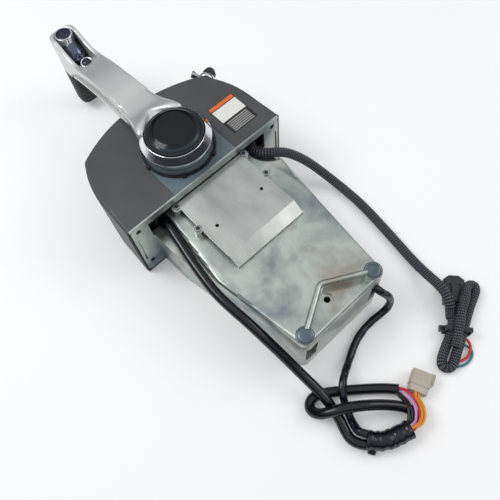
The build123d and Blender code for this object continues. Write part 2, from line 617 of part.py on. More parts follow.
def case_outline(grow):
    """The lower case seen along Z: wide at the flange and narrower towards its end."""
    side = [(CASE_HALF_W_TOP + grow, FLANGE_Y + FLANGE_T), (CASE_HALF_W_BEND + grow, CASE_BEND_Y),
            (CASE_HALF_W_MID + grow, CASE_MID_Y), (CASE_HALF_W_END + grow, CASE_END_Y - grow)]
    left = [(-x, y) for x, y in side]
    return outline_face(
        Line(side[0], side[1]), ThreePointArc(side[1], side[2], side[3]), Line(side[3], left[3]),
        ThreePointArc(left[3], left[2], left[1]), Line(left[1], left[0]), Line(left[0], side[0]))


def cable_channel(sign):
    """Open channel beside the top pad where a cable leaves the flange and lies along the case."""
    edge = PAD_EDGE if sign < 0 else NOTCH_EDGE
    far_x = sign * (CASE_HALF_W_TOP + 12)
    face = outline_face(
        ThreePointArc(*edge), Line(edge[2], (far_x, edge[2][1] - 8)),
        Line((far_x, edge[2][1] - 8), (far_x, edge[0][1])), Line((far_x, edge[0][1]), edge[0]))
    return at_height(face, LEDGE_Z, END_BOSS_Z + 10)


def end_pocket():
    """Sunken triangle between the V rib and the end lip."""
    x = END_BOSS[0] - END_BOSS_R + 1
    points = [(-x, END_BOSS[1] + 2), (0, END_APEX_Y - END_RIB_W), (x, END_BOSS[1] + 2),
              (x, END_LIP_Y), (-x, END_LIP_Y)]
    return at_height(make_face(Polyline(*points, close=True)), END_POCKET_Z, END_BOSS_Z + 5)


def rib_bar(start, end, width, z0, z1):
    """A straight rib between two points."""
    dx, dy = end[0] - start[0], end[1] - start[1]
    bar = box_between((0, math.hypot(dx, dy)), (-width / 2, width / 2), (z0, z1))
    return Pos(start[0], start[1], 0) * Rot(0, 0, math.degrees(math.atan2(dy, dx))) * bar


def lower_case():
    body = at_height(case_outline(0), 0, CASE_TOP_Z)
    ends = [e for e in body.edges().filter_by(Axis.Z) if e.center().Y < CASE_END_Y + 1]
    body = fillet(ends, END_BOSS_R - 1)
    for sign in (-1, 1):
        body -= cable_channel(sign)
    roof = [e for e in body.edges() if abs(e.center().Z - CASE_TOP_Z) < 0.01
            and e.center().Y < FLANGE_Y - 1 and abs(e.center().X) > 20]
    body = fillet(roof, CASE_EDGE_R * 0.6)
    room = at_height(case_outline(-CASE_WALL), CASE_BACK_Z, ROOM_LEDGE_Z)
    room -= box_between((-BEYOND, BEYOND), (-BEYOND, ROOM_END_Y), (0, BEYOND))
    half_w = ROOM_UPPER_HALF_W
    room += box_between((-half_w, half_w), (ROOM_UPPER_END_Y, 0), (ROOM_LEDGE_Z - 1, CASE_TOP_Z - CASE_ROOF_T))
    room += at_height(case_outline(-CASE_WALL / 2), -1, CASE_BACK_Z)
    flange = box_between((-FLANGE_HALF_W, FLANGE_HALF_W), (FLANGE_Y, FLANGE_Y + FLANGE_T),
                         (FLANGE_Z0, FLANGE_Z1))
    flange = fillet(flange.edges().filter_by(Axis.Y), FLANGE_CORNER_R)
    through = (FLANGE_Y - 0.5, FLANGE_Y + FLANGE_T + 1)
    window_x = NOTCH_EDGE[0][0]
    windows = box_between((-window_x - 1, window_x + 1), through, (CASE_TOP_Z, STRIP_Z))
    for sign in (-1, 1):
        x = sorted((sign * CHEEK_INNER_X, sign * window_x))
        windows += box_between(x, through, (LEDGE_Z, STRIP_Z))
        slot_x = (sign * CHEEK_SLOT_X - CHEEK_SLOT_W / 2, sign * CHEEK_SLOT_X + CHEEK_SLOT_W / 2)
        flange -= box_between(slot_x, (FLANGE_Y - 1, FLANGE_Y + CHEEK_SLOT_DEPTH), CHEEK_SLOT_Z)
        for z in MOUNT_HOLE_Z:
            hole = Pos(sign * MOUNT_HOLE_X, FLANGE_Y, z) * Rot(90, 0, 0) * Cylinder(
                MOUNT_HOLE_R, 4 * FLANGE_T)
            flange -= hole
    foot = box_between((-FLANGE_HALF_W, FLANGE_HALF_W), (FLANGE_Y, 0), (-1, FLANGE_Z0))
    casting = body + flange - room - foot - windows
    for x, y in PLATE_EARS:
        casting += rod(x, y, CASE_TOP_Z - 1, PLATE_TOP_Z - PLATE_T, POST_R + 0.4, POST_R)
        casting -= rod(x, y, PLATE_TOP_Z - EAR_SCREW_LENGTH, PLATE_TOP_Z, EAR_SCREW_R + SEAT_FIT)
    casting -= end_pocket()
    for sign in (-1, 1):
        boss = (sign * END_BOSS[0], END_BOSS[1])
        casting += rod(boss[0], boss[1], END_DOOR_Z[1], END_BOSS_Z, END_BOSS_R, END_BOSS_TOP_R)
        casting += rib_bar((0, END_APEX_Y), boss, END_RIB_W, END_POCKET_Z - 1, END_RIB_Z)
        casting -= rod(boss[0], boss[1], END_BOSS_Z - END_DISH_DEPTH, END_BOSS_Z + 1, END_DISH_R)
        door_x = (min(sign * END_DOOR_X[0], sign * END_DOOR_X[1]),
                  max(sign * END_DOOR_X[0], sign * END_DOOR_X[1]))
        casting -= box_between(door_x, (CASE_END_Y - 12, ROOM_END_Y + 12), END_DOOR_Z)
    casting -= rod(END_HOLE[0], END_HOLE[1], ROOM_LEDGE_Z - 1, END_BOSS_Z, END_HOLE_R)
    hexagon = Pos(END_HOLE[0], END_HOLE[1], 0) * RegularPolygon(END_HEX_R, 6)
    casting -= at_height(hexagon, END_POCKET_Z - END_HEX_DEPTH, END_BOSS_Z)
    shaft_y = -shift_centre()
    casting += rod(0, shaft_y, SHIFT_SHAFT_Z[1] - 7, CASE_TOP_Z - 1, ARM_HUB_R)
    return casting - rod(0, shaft_y, 40, SHIFT_SHAFT_Z[1] + 0.3, SHIFT_SHAFT_R + SHAFT_FIT)


def case_back():
    """Flat cover that closes the far side of the case, with the shift shaft's bearing boss."""
    plate = at_height(case_outline(-CASE_WALL / 2 - LOOSE_FIT), 0, CASE_BACK_Z)
    plate -= box_between((-BEYOND, BEYOND), (FLANGE_Y - LOOSE_FIT, BEYOND), (-1, BEYOND))
    shaft_y = -shift_centre()
    plate += rod(0, shaft_y, CASE_BACK_Z - 1, SHIFT_ARM_Z - LOOSE_FIT, ARM_HUB_R)
    plate -= rod(0, shaft_y, SHIFT_SHAFT_Z[0] - 0.3, 20, SHIFT_SHAFT_R + SHAFT_FIT)
    return plate


def cover_plate():
    """Sheet cover on four posts, with round ears and a lip folded down towards the case."""
    z0 = PLATE_TOP_Z - PLATE_T
    plate = box_between((-PLATE_HALF_W, PLATE_HALF_W), (PLATE_Y1, PLATE_Y0), (z0, PLATE_TOP_Z))
    for x, y in PLATE_EARS:
        plate += rod(x, y, z0, PLATE_TOP_Z, EAR_R) & box_between((-BEYOND, BEYOND), (-BEYOND, PLATE_Y0), (0, BEYOND))
    lip = [(PLATE_Y1, z0), (PLATE_Y1, PLATE_TOP_Z), (PLATE_LIP_Y, PLATE_LIP_Z),
           (PLATE_LIP_Y, PLATE_LIP_Z - PLATE_T), (PLATE_LIP_Y + 1, PLATE_LIP_Z - PLATE_T)]
    plate += side_profile(lip, PLATE_HALF_W - 0.5)
    for x, y in PLATE_EARS:
        plate -= rod(x, y, z0 - 1, PLATE_TOP_Z + 1, EAR_SCREW_R + SEAT_FIT)
    for x, y in PLATE_HOLES:
        plate -= rod(x, y, z0 - 1, PLATE_TOP_Z + 1, PLATE_HOLE_R)
    for x, y in PLATE_DOTS:
        plate += rod(x, y, z0, PLATE_TOP_Z + 0.3, PLATE_DOT_R)
    return plate


def cover_plate_screws():
    return screw_group(PLATE_EARS, PLATE_TOP_Z, EAR_SCREW_HEAD_R, EAR_SCREW_HEAD_H, EAR_SCREW_R,
                       EAR_SCREW_LENGTH - 1, True)


# Mechanism

def shift_centre():
    return GEAR_MODULE * (DRIVE_TEETH + SHIFT_TEETH) / 2


def throttle_centre():
    return GEAR_MODULE * (DRIVE_TEETH + THROTTLE_TEETH) / 2


def bearing_frame():
    """Two plates on four posts that carry the lever shaft and the throttle shaft."""
    base_y = FLANGE_Y + FLANGE_T
    frame = None
    for z in (FRAME_FAR_Z, FRAME_NEAR_Z):
        plate = box_between(FRAME_X, (base_y, FRAME_Y1), (z, z + FRAME_T))
        plate = fillet(plate.edges().filter_by(Axis.Z), 5)
        frame = plate if frame is None else frame + plate
    frame -= box_between((FRAME_X[0] - 1, FRAME_NOTCH[0]), (base_y - 1, FRAME_NOTCH[1]), (40, 80))
    for x, y in FRAME_POSTS:
        frame += rod(x, y, FRAME_FAR_Z + 1, FRAME_NEAR_Z + 1, FRAME_POST_R)
    far_z = FRAME_FAR_Z + FRAME_T
    frame += rod(0, 0, far_z - 1, far_z + FRAME_HUB_H, FRAME_HUB_R)
    frame += rod(0, 0, FRAME_NEAR_Z - FRAME_HUB_H, FRAME_NEAR_Z + 1, FRAME_HUB_R)
    frame -= rod(0, 0, 0, 80, BUSH_R + SEAT_FIT)
    x = -throttle_centre()
    frame += rod(x, 0, far_z - 1, far_z + FRAME_HUB_H, FRAME_HUB_R - 2)
    return frame - rod(x, 0, 0, 80, THROTTLE_SHAFT_R + SHAFT_FIT)


def shaft_bushes():
    """A plain bearing bush in each plate of the frame."""
    length = FRAME_T + FRAME_HUB_H
    bushes = []
    for z0 in (FRAME_FAR_Z, FRAME_NEAR_Z - FRAME_HUB_H):
        sleeve = rod(0, 0, z0, z0 + length, BUSH_R)
        bushes.append(sleeve - rod(0, 0, z0 - 1, z0 + length + 1, SHAFT_R + SHAFT_FIT))
    return bushes


def main_shaft():
    shaft = rod(0, 0, SHAFT_Z0, HUB_FLOOR_Z - 0.5, SHAFT_R)
    return shaft - rod(0, 0, HUB_FLOOR_Z - 16, HUB_FLOOR_Z, 3.0 + SEAT_FIT)


def shaft_clip():
    """Retaining ring under the far bush."""
    z1 = FRAME_FAR_Z - 0.3
    ring = rod(0, 0, z1 - CLIP_T, z1, CLIP_R) - rod(0, 0, 0, z1 + 1, SHAFT_R + SEAT_FIT)
    return ring - box_between((-1.5, 1.5), (-20, 0), (0, 20))


def detent_disc():
    disc = rod(0, 0, DETENT_Z, DETENT_Z + DETENT_T, DETENT_R)
    for turn in (-DETENT_STEP, 0, DETENT_STEP):
        a = math.radians(turn)
        disc -= rod(DETENT_R * math.cos(a), DETENT_R * math.sin(a), 0, 80, DETENT_NOTCH_R)
    return disc - rod(0, 0, 0, 80, SHAFT_R + SEAT_FIT)


def detent_pin():
    z = DETENT_Z + DETENT_T / 2
    x0 = DETENT_R + LOOSE_FIT
    nose = Pos(x0 + DETENT_PIN_R, 0, z) * Sphere(DETENT_PIN_R)
    bar = Pos(x0 + DETENT_PIN_R + DETENT_PIN_L / 2, 0, z) * Rot(0, 90, 0) * Cylinder(
        DETENT_PIN_R, DETENT_PIN_L)
    return nose + bar


def detent_block():
    """Block on the frame's far plate that guides the detent pin."""
    z = DETENT_Z + DETENT_T / 2
    x0 = DETENT_R + LOOSE_FIT + DETENT_PIN_R + 2
    block = box_between((x0, FRAME_X[1] - 1), (-7, 7), (FRAME_FAR_Z + FRAME_T, z + 7))
    bore = Pos(x0, 0, z) * Rot(0, 90, 0) * Cylinder(
        DETENT_PIN_R + SLIDE_FIT, FRAME_X[1] - 5 - x0, align=(Align.CENTER, Align.CENTER, Align.MIN))
    cut = Pos(0, 0, 0) * rod(0, 0, FRAME_FAR_Z, GEAR_Z0 + GEAR_T + 2, GEAR_MODULE * DRIVE_TEETH / 2 + 4)
    return block - bore - cut


def shift_gear():
    gear = involute_gear(SHIFT_TEETH, SHIFT_SHAFT_R, 180.0 / SHIFT_TEETH)
    return Pos(0, -shift_centre(), 0) * gear


def shift_shaft():
    return rod(0, -shift_centre(), SHIFT_SHAFT_Z[0], SHIFT_SHAFT_Z[1], SHIFT_SHAFT_R)


def crank(x, y, z0, length, bore, angle):
    """A forged lever arm with a hub and a rounded, drilled tip."""
    hub = rod(0, 0, z0, z0 + ARM_T + 4, ARM_HUB_R)
    web = [(-ARM_HUB_R + 1, 0), (-ARM_TIP_R + 0.6, -length), (ARM_TIP_R - 0.6, -length), (ARM_HUB_R - 1, 0)]
    arm = at_height(make_face(Polyline(*web, close=True)), z0, z0 + ARM_T)
    arm += rod(0, -length, z0, z0 + ARM_T, ARM_TIP_R)
    arm = arm + hub - rod(0, 0, 0, 80, bore + SEAT_FIT) - rod(0, -length, 0, 80, STUD_R + SEAT_FIT)
    return Pos(x, y, 0) * Rot(0, 0, angle) * arm


def shift_arm():
    return crank(0, -shift_centre(), SHIFT_ARM_Z, SHIFT_ARM_L, SHIFT_SHAFT_R, 0)


def cable_stud(x, y, z0):
    """Ball stud that a push-pull cable snaps onto."""
    stud = rod(x, y, z0, z0 + ARM_T + 4, STUD_R) + Pos(x, y, z0 + ARM_T + 6) * Sphere(4.0)
    return stud + rod(x, y, z0 - 2, z0, STUD_R + 1.5)


def throttle_gear():
    gear = involute_gear(THROTTLE_TEETH, THROTTLE_SHAFT_R, 180.0 / THROTTLE_TEETH)
    return Pos(-throttle_centre(), 0, 0) * gear


def throttle_shaft():
    return rod(-throttle_centre(), 0, FRAME_FAR_Z - 1, FRAME_NEAR_Z + FRAME_T + 1, THROTTLE_SHAFT_R)


def throttle_arm():
    return crank(-throttle_centre(), 0, THROTTLE_ARM_Z, THROTTLE_ARM_L, THROTTLE_SHAFT_R, 0)


def neutral_switch():
    """Micro switch in the case that tells the engine when the shift arm is in neutral."""
    body = box_between((30, 50), (-138, -126), (CASE_BACK_Z, CASE_BACK_Z + 14))
    return body + box_between((36, 40), (-126, -124), (CASE_BACK_Z + 5, CASE_BACK_Z + 9))


# Lever

def lever_hub():
    """Solid hub under the cap: a cone that narrows to the boss, with a raised rim."""
    core = turned((0, HUB_Z0), (HUB_CORE_R - SKIRT_WALL, HUB_Z0), (SKIRT_TOP_R - SKIRT_WALL, SKIRT_TOP_Z),
                  (HUB_CORE_R, BEZEL_EDGE_Z), (RECESS_R, BEZEL_TOP_Z - 2.5),
                  (RECESS_R - 0.2, HUB_FLOOR_Z), (0, HUB_FLOOR_Z))
    return core - rod(0, 0, 0, BEYOND, SHAFT_R + SEAT_FIT)


def arm_points(points):
    """(y, z) points from parts of the way to the grip and heights above the hub's underside."""
    return [(GRIP_Y * y, HUB_Z0 + z) for y, z in points]


def arm_plan(points, tail):
    """The arm seen along Z: smooth flanks through the given half widths, then a straight tail."""
    right = [(x, GRIP_Y * y) for y, x in points]
    flank = Spline(*right)
    end = (tail[0], tail[1])
    other = [(-x, y) for x, y in reversed(right)]
    return outline_face(
        flank, Line(right[-1], end), Line(end, (-end[0], end[1])), Line((-end[0], end[1]), other[0]),
        Spline(*other), Line(other[-1], right[0]))


def teardrop(radius, reach, corner_r):
    """A circle with one rounded corner towards +Y, where its two tangents meet."""
    lean = math.acos(radius / reach)
    tx, ty = radius * math.sin(lean), radius * math.cos(lean)
    face = outline_face(Line((tx, ty), (0, reach)), Line((0, reach), (-tx, ty)),
                        ThreePointArc((-tx, ty), (0, -radius), (tx, ty)))
    tip = [v for v in face.vertices() if v.Y > reach - 0.01]
    return fillet(tip, corner_r)


def lever_arm():
    """Die-cast arm: it leans in over the dome and ends in the head that holds grip and plunger."""
    upper, under = arm_points(ARM_TOP), arm_points(ARM_UNDER)
    head = [(HEAD_Y1, HEAD_TOP_Z), (HEAD_Y1, HEAD_Z0), (HEAD_FRONT_Y, HEAD_Z0)]
    outline = upper + head + under + [(upper[0][0], HUB_Z0)]
    plan = arm_plan(ARM_PLAN, (HEAD_HALF_W, HEAD_Y1))
    arm = side_profile(outline, BEYOND) & at_height(plan, HEAD_Z0 - 1, BEZEL_TOP_Z + 1)
    back_corners = [e for e in arm.edges().filter_by(Axis.Z) if e.center().Y > HEAD_Y1 - 1]
    arm = fillet(back_corners, HEAD_CORNER_R)
    arm += lever_hub()
    arm -= at_height(teardrop(RECESS_R, TEAR_Y, TEAR_R), TEAR_FLOOR_Z, BEYOND)
    arm -= rod(0, 0, HUB_FLOOR_Z, BEYOND, RECESS_R - 0.2)
    arm -= rod(0, GRIP_Y, BARREL_FLOOR_Z, BEYOND, BARREL_R + LOOSE_FIT)
    pocket = arm_points(POCKET_CURVE)
    pocket += [(pocket[-1][0] + 4, BARREL_FLOOR_Z), (GRIP_Y, BARREL_FLOOR_Z), (GRIP_Y, BEYOND),
               (pocket[0][0], BEYOND)]
    arm -= side_profile(pocket, POCKET_HALF_W)
    strap_gap = box_between((-GRIP_STRAP_HALF_W - 0.2, GRIP_STRAP_HALF_W + 0.2),
                            (GRIP_STRAP_Y - 0.2, HEAD_Y1 + 2), (0, GRIP_STRAP_Z1 + 0.2))
    arm -= strap_gap
    arm += rod(0, GRIP_Y, TANG_Z0, HEAD_Z0 + 1, TANG_R)
    place = trim_plane()
    arm -= place * Pos(0, 0, -TRIM_DEPTH) * extrude(
        Ellipse(TRIM_WIDTH / 2 + SLIDE_FIT, TRIM_LENGTH / 2 + SLIDE_FIT), amount=20)
    grow = SLIDE_FIT + TRIM_BEZEL_W + SEAT_FIT
    arm -= place * extrude(Ellipse(TRIM_WIDTH / 2 + grow, TRIM_LENGTH / 2 + grow), amount=20)
    return arm - rod(0, 0, 0, HUB_FLOOR_Z + 1, SHAFT_R + SEAT_FIT)


def trim_plane():
    """Plane of the oval trim button, leaning with the arm's face."""
    tilt = math.radians(TRIM_TILT)
    return Plane(origin=(0, TRIM_Y, TRIM_Z), x_dir=(1, 0, 0), z_dir=(0, math.sin(tilt), math.cos(tilt)))


def trim_button():
    body = extrude(Ellipse(TRIM_WIDTH / 2, TRIM_LENGTH / 2), amount=TRIM_BUTTON_H)
    return trim_plane() * Pos(0, 0, 0.4 - TRIM_BUTTON_H) * body


def trim_bezel():
    grow = SLIDE_FIT + TRIM_BEZEL_W
    ring = extrude(Ellipse(TRIM_WIDTH / 2 + grow, TRIM_LENGTH / 2 + grow), amount=TRIM_BEZEL_H)
    hole = extrude(Ellipse(TRIM_WIDTH / 2 + SLIDE_FIT, TRIM_LENGTH / 2 + SLIDE_FIT), amount=5)
    return trim_plane() * (ring - Pos(0, 0, -1) * hole)


def arm_back_plate():
    """Back plate of the arm: it follows the arm's underside and stands proud of it on both sides."""
    upper = [(y, z - BACK_PLATE_GAP) for y, z in arm_points(ARM_UNDER[1:])]
    upper.append((GRIP_Y * BACK_PLATE_PLAN[0][0], upper[-1][1]))
    lower = [(y, z - BACK_PLATE_T) for y, z in reversed(upper)]
    plan = arm_plan(BACK_PLATE_PLAN, (BACK_PLATE_PLAN[-1][1] - 1.5, GRIP_Y * BACK_PLATE_END))
    return side_profile(upper + lower, BEYOND) & at_height(plan, 0, BEYOND)


def bezel_ring():
    """Chromed ring round the hub: a bevel between the recess's edge and the skirt."""
    ring = turned((HUB_CORE_R + SEAT_FIT, BEZEL_EDGE_Z - 1.8), (BEZEL_R, BEZEL_EDGE_Z - 1.8),
                  (BEZEL_R, BEZEL_EDGE_Z), (BEZEL_TOP_R, BEZEL_TOP_Z), (RECESS_R + 0.1, BEZEL_TOP_Z),
                  (RECESS_R + 0.1, BEZEL_TOP_Z - 2.4), (HUB_CORE_R + SEAT_FIT, BEZEL_EDGE_Z + 0.1))
    return ring - box_between((-BEYOND, BEYOND), (RING_END_Y, BEYOND), (0, BEYOND))


def hub_skirt():
    """Pale cone under the bezel."""
    cone = turned((HUB_CORE_R, HUB_Z0), (SKIRT_TOP_R, SKIRT_TOP_Z),
                  (SKIRT_TOP_R - SKIRT_WALL + 0.1, SKIRT_TOP_Z), (HUB_CORE_R - SKIRT_WALL + 0.1, HUB_Z0))
    return cone - box_between((-BEYOND, BEYOND), (RING_END_Y, BEYOND), (0, BEYOND))


def cap_ring():
    """Black ring that guides the cap."""
    return turned((CAP_R + SLIDE_FIT, HUB_FLOOR_Z), (CAP_RING_R - 0.2, HUB_FLOOR_Z),
                  (CAP_RING_R - 0.2, CAP_RING_TOP_Z - 0.8), (CAP_RING_R - 1.0, CAP_RING_TOP_Z),
                  (CAP_R + SLIDE_FIT, CAP_RING_TOP_Z))


def hub_cap():
    """Push cap in the hub: pressed in, the lever moves the throttle alone."""
    edge_r = CAP_R - 2.2
    cap = turned((0, CAP_Z0), (CAP_R, CAP_Z0), (CAP_R, CAP_EDGE_Z - 1.6), (CAP_R - 0.7, CAP_EDGE_Z),
                 (edge_r, CAP_EDGE_Z + 0.9), (CAP_DISC_R + 0.9, CAP_TOP_Z - 0.9),
                 (CAP_DISC_R, CAP_TOP_Z - 0.5), (CAP_DISC_R * 0.55, CAP_TOP_Z - 0.1), (0, CAP_TOP_Z))
    return cap - rod(0, 0, 0, CAP_TOP_Z - CAP_SHELL_T, CAP_R - CAP_SHELL_T - 4)


def hub_screw():
    return screw_group(((0, 0),), HUB_FLOOR_Z, 8.0, 2.6, 3.0, 14.0, True)


def rubber_grip():
    """Soft grip over the tang, with a strap that runs up the back of the head."""
    body = box_between((-GRIP_HALF_W, GRIP_HALF_W), (GRIP_Y0, GRIP_Y1), (GRIP_Z0, HEAD_Z0 - 0.3))
    body = fillet(body.edges().filter_by(Axis.Z), GRIP_ROUND_R)
    body = fillet(body.edges().group_by(Axis.Z)[0], 4.0)
    strap = box_between((-GRIP_STRAP_HALF_W, GRIP_STRAP_HALF_W), (GRIP_STRAP_Y, GRIP_Y1),
                        (HEAD_Z0 - 4, GRIP_STRAP_Z1))
    body += fillet(strap.edges().filter_by(Axis.Z).group_by(Axis.Y)[-1], 3.5)
    body -= rod(0, GRIP_Y, TANG_Z0 - LOOSE_FIT, HEAD_Z0 + 1, TANG_R + SEAT_FIT)
    return body - rod(0, GRIP_Y, HEAD_Z0 - LOOSE_FIT, BEYOND, BARREL_R + LOOSE_FIT)


def plunger_barrel():
    """Polished barrel in the head: pushed in with the thumb, it frees the lever from neutral."""
    barrel = rod(0, GRIP_Y, BARREL_Z0, BARREL_Z1, BARREL_R)
    barrel = fillet(barrel.edges().group_by(Axis.Z)[0], 2.8)
    barrel = fillet(barrel.edges().group_by(Axis.Z)[-1], 0.6)
    barrel -= rod(0, GRIP_Y, BARREL_Z1 - BARREL_DISH, BARREL_Z1 + 1, BARREL_R - 1.6)
    return barrel - rod(0, GRIP_Y, 0, BARREL_BORE_TOP_Z, BARREL_BORE_R)


def barrel_spring():
    return helical_spring(0, GRIP_Y, BARREL_FLOOR_Z, BARREL_BORE_TOP_Z - 0.2, BARREL_BORE_R - 1.3, 0.6, 6)


def cap_spring():
    return helical_spring(0, 0, HUB_FLOOR_Z, CAP_TOP_Z - CAP_SHELL_T - 0.2, 10.5, 0.7, 4)


# Engine stop switch

def switch_body():
    """Switch inside the shoulder, with the threaded neck that comes through the wall."""
    return switch_rod(-SWITCH_BODY_L - 4.2, SWITCH_BODY_L, SWITCH_BODY_R) + switch_rod(
        -5, 5 + SWITCH_NECK_L, SWITCH_NECK_R) - switch_rod(
            SWITCH_NECK_L - 8, 10, TOGGLE_BORE_R)


def switch_nut():
    """Chromed nut that clamps the switch to its seat."""
    nut = switch_rod(SWITCH_SEAT_L, SWITCH_NUT_T, SWITCH_NUT_R)
    nut += switch_rod(SWITCH_SEAT_L + SWITCH_NUT_T - 0.5, 2.0, SWITCH_NUT_R - 1.4, SWITCH_NUT_R - 2.2)
    return nut - switch_rod(0, 30, SWITCH_NECK_R + SEAT_FIT)


def stop_toggle():
    """Black toggle that swings in the switch's neck."""
    start = SWITCH_NECK_L + 1.8
    pivot = SWITCH_NECK_L - 4
    toggle = switch_rod(start, TOGGLE_L - 8, TOGGLE_R, TOGGLE_TIP_R)
    toggle += switch_rod(start + TOGGLE_L - 8.2, 5, TOGGLE_TIP_R, TOGGLE_TIP_R - 2)
    toggle += switch_rod(pivot, start - pivot + 1, TOGGLE_STEM_R)
    place = Plane(origin=(SWITCH_BASE[0] + SWITCH_DIR[0] * pivot, SWITCH_BASE[1] + SWITCH_DIR[1] * pivot,
                          SWITCH_Z), z_dir=(SWITCH_DIR[1], -SWITCH_DIR[0], 0))
    return toggle + place * Cylinder(TOGGLE_PIN_R, TOGGLE_PIN_L)


def stop_clip():
    """Forked lanyard clip, slipped over the neck behind the toggle."""
    plate = switch_rod(SWITCH_SEAT_L + SWITCH_NUT_T + 1.7, CLIP_FORK_T, SWITCH_NUT_R + 1.5)
    return plate - switch_rod(0, 40, SWITCH_NECK_R + SLIDE_FIT)


# Cords

def corner_radii(route):
    """For each corner, the largest radius that its two runs allow."""
    points = [Vector(*p) for p in route]
    radii = []
    for before, corner, after in zip(points, points[1:], points[2:]):
        first, second = corner - before, after - corner
        half_turn = math.radians(first.get_angle(second)) / 2
        radii.append(0.45 * min(first.length, second.length) / math.tan(half_turn))
    return radii


def cord(name, route, radius):
    """A round cord along straight runs joined by arcs."""
    radii = corner_radii(route)
    path = FilletPolyline(*route, radius=radii)
    tube = sweep(Plane(origin=path @ 0, z_dir=path % 0) * Circle(radius), path=path)
    expected = math.pi * radius ** 2 * path.length
    print(f"{name}: length {path.length:.1f} mm, volume / expected {tube.volume / expected:.4f}, "
          f"smallest radius {min(radii):.1f} mm, radii {[round(r, 1) for r in radii]}")
    return tube


def cable_glands():
    """Two boots behind the flange's windows and one in the case's end opening."""
    glands = []
    for x, y, z in (HARNESS_EXIT, BRAID_EXIT):
        boot = Pos(x, y + GLAND_L / 2, z) * Rot(-90, 0, 0) * Cone(GLAND_R, GLAND_TIP_R, GLAND_L)
        glands.append(boot)
    x, y, z = LEAD_EXIT
    glands.append(Pos(x, y + END_GLAND_L / 2, z) * Rot(90, 0, 0) * Cylinder(END_GLAND_R, END_GLAND_L))
    return glands


def harness_trunk():
    """Taped sleeve where harness, loop, switch lead and wires run together."""
    return cord("harness_trunk", TRUNK_ROUTE, TRUNK_R)


def connector_place(front, turn):
    return Pos(front[0], front[1], 0) * Rot(0, 0, turn)


def grey_connector():
    """Six-way connector housing with a collar at its rear seal and a latch on its side."""
    z0 = 0.5
    half = GREY_W / 2
    body = box_between((-GREY_L + GREY_COLLAR_L, 0), (-half, half), (z0, z0 + GREY_H))
    body = fillet(body.edges().filter_by(Axis.X), 2.2)
    collar = box_between((-GREY_L, -GREY_L + GREY_COLLAR_L), (-half + 0.7, half - 0.7),
                         (z0 + 0.7, z0 + GREY_H - 0.7))
    body += fillet(collar.edges().filter_by(Axis.X), 2.0)
    mouth = box_between((-9, 1), (-half + 1.6, half - 1.6), (z0 + 1.6, z0 + GREY_H - 1.6))
    body -= mouth
    for row in (0, 1):
        for column in (-1, 0, 1):
            pin = Pos(-5.5, column * 4.4, z0 + GREY_H / 2 + (row - 0.5) * 4.6) * Rot(0, 90, 0) * Cylinder(
                0.8, 9)
            body += pin
    latch = box_between((-9.5, 1.8), (-half - 2.6, -half + 0.5), (z0 + 4, z0 + GREY_H - 4))
    body += fillet(latch.edges().filter_by(Axis.Z).group_by(Axis.Y)[0], 1.5)
    return connector_place(GREY_FRONT, GREY_TURN) * body


def black_connector():
    """Sealed housing with chamfered front corners and two finger grooves."""
    z0 = 0.3
    half = BLACK_W / 2
    plan = make_face(Polyline((-BLACK_L, -half), (-4, -half), (0, -half + 5), (0, half - 5), (-4, half),
                              (-BLACK_L, half), close=True))
    body = at_height(plan, z0, z0 + BLACK_H)
    body = chamfer(body.edges().group_by(Axis.Z)[-1], 0.8)
    for y in (-4.2, 4.2):
        body -= box_between((-BLACK_L + 3, -9), (y - 1.4, y + 1.4), (z0 + BLACK_H - 1.2, z0 + BLACK_H + 1))
    return connector_place(BLACK_FRONT, BLACK_TURN) * body


def strand(points, start, end, width, z0, z1):
    """A flat strand of constant width along a smooth line, from one direction to another."""
    return at_height(trace(Spline(*points, tangents=(start, end)), line_width=width), z0, z1)


def braided_hank():
    """The folded end of the braided lead: two strands, their turn and the tail to the connector."""
    hank = strand(HANK_LEFT, HANK_START_DIR, HANK_TURN_DIR, HANK_W, *HANK_Z)
    hank += strand(HANK_RIGHT, HANK_TURN_DIR, HANK_END_DIR, HANK_W, *HANK_Z)
    hank += strand(HANK_TAIL, HANK_END_DIR, HANK_TAIL_DIR, HANK_TAIL_W, HANK_Z[0], HANK_TAIL_Z1)
    for end in (HANK_RIGHT[0], HANK_RIGHT[-1]):
        hank += rod(end[0], end[1], HANK_Z[0], HANK_Z[1], HANK_W / 2)
    return hank


def zip_tie():
    """Cable tie round the hank's neck, with its square head."""
    z0, z1 = HANK_Z[0] - TIE_T - SLIDE_FIT, HANK_Z[1] + TIE_T + SLIDE_FIT
    half = TIE_SPAN / 2
    band = box_between((-half, half), (-TIE_W / 2, TIE_W / 2), (z0, z1))
    band -= box_between((-half + TIE_T, half - TIE_T), (-TIE_W, TIE_W), (z0 + TIE_T, z1 - TIE_T))
    band += box_between((-half - 4, -half + 0.2), (-TIE_W / 2 - 0.5, TIE_W / 2 + 0.5), (6, 11))
    return Pos(TIE_CENTRE[0], TIE_CENTRE[1], 0) * Rot(0, 0, TIE_TURN) * band


def as_list(pieces):
    return pieces if isinstance(pieces, list) else [pieces]


def write_node(name, pieces):
    """Writes one STEP file: a single solid, or a group of separate solids."""
    solids = []
    for piece in as_list(pieces):
        solids += list(piece.solids())
    shape = solids[0] if len(solids) == 1 else Compound(children=solids)
    export_step(shape, os.path.join("parts", name + ".step"))


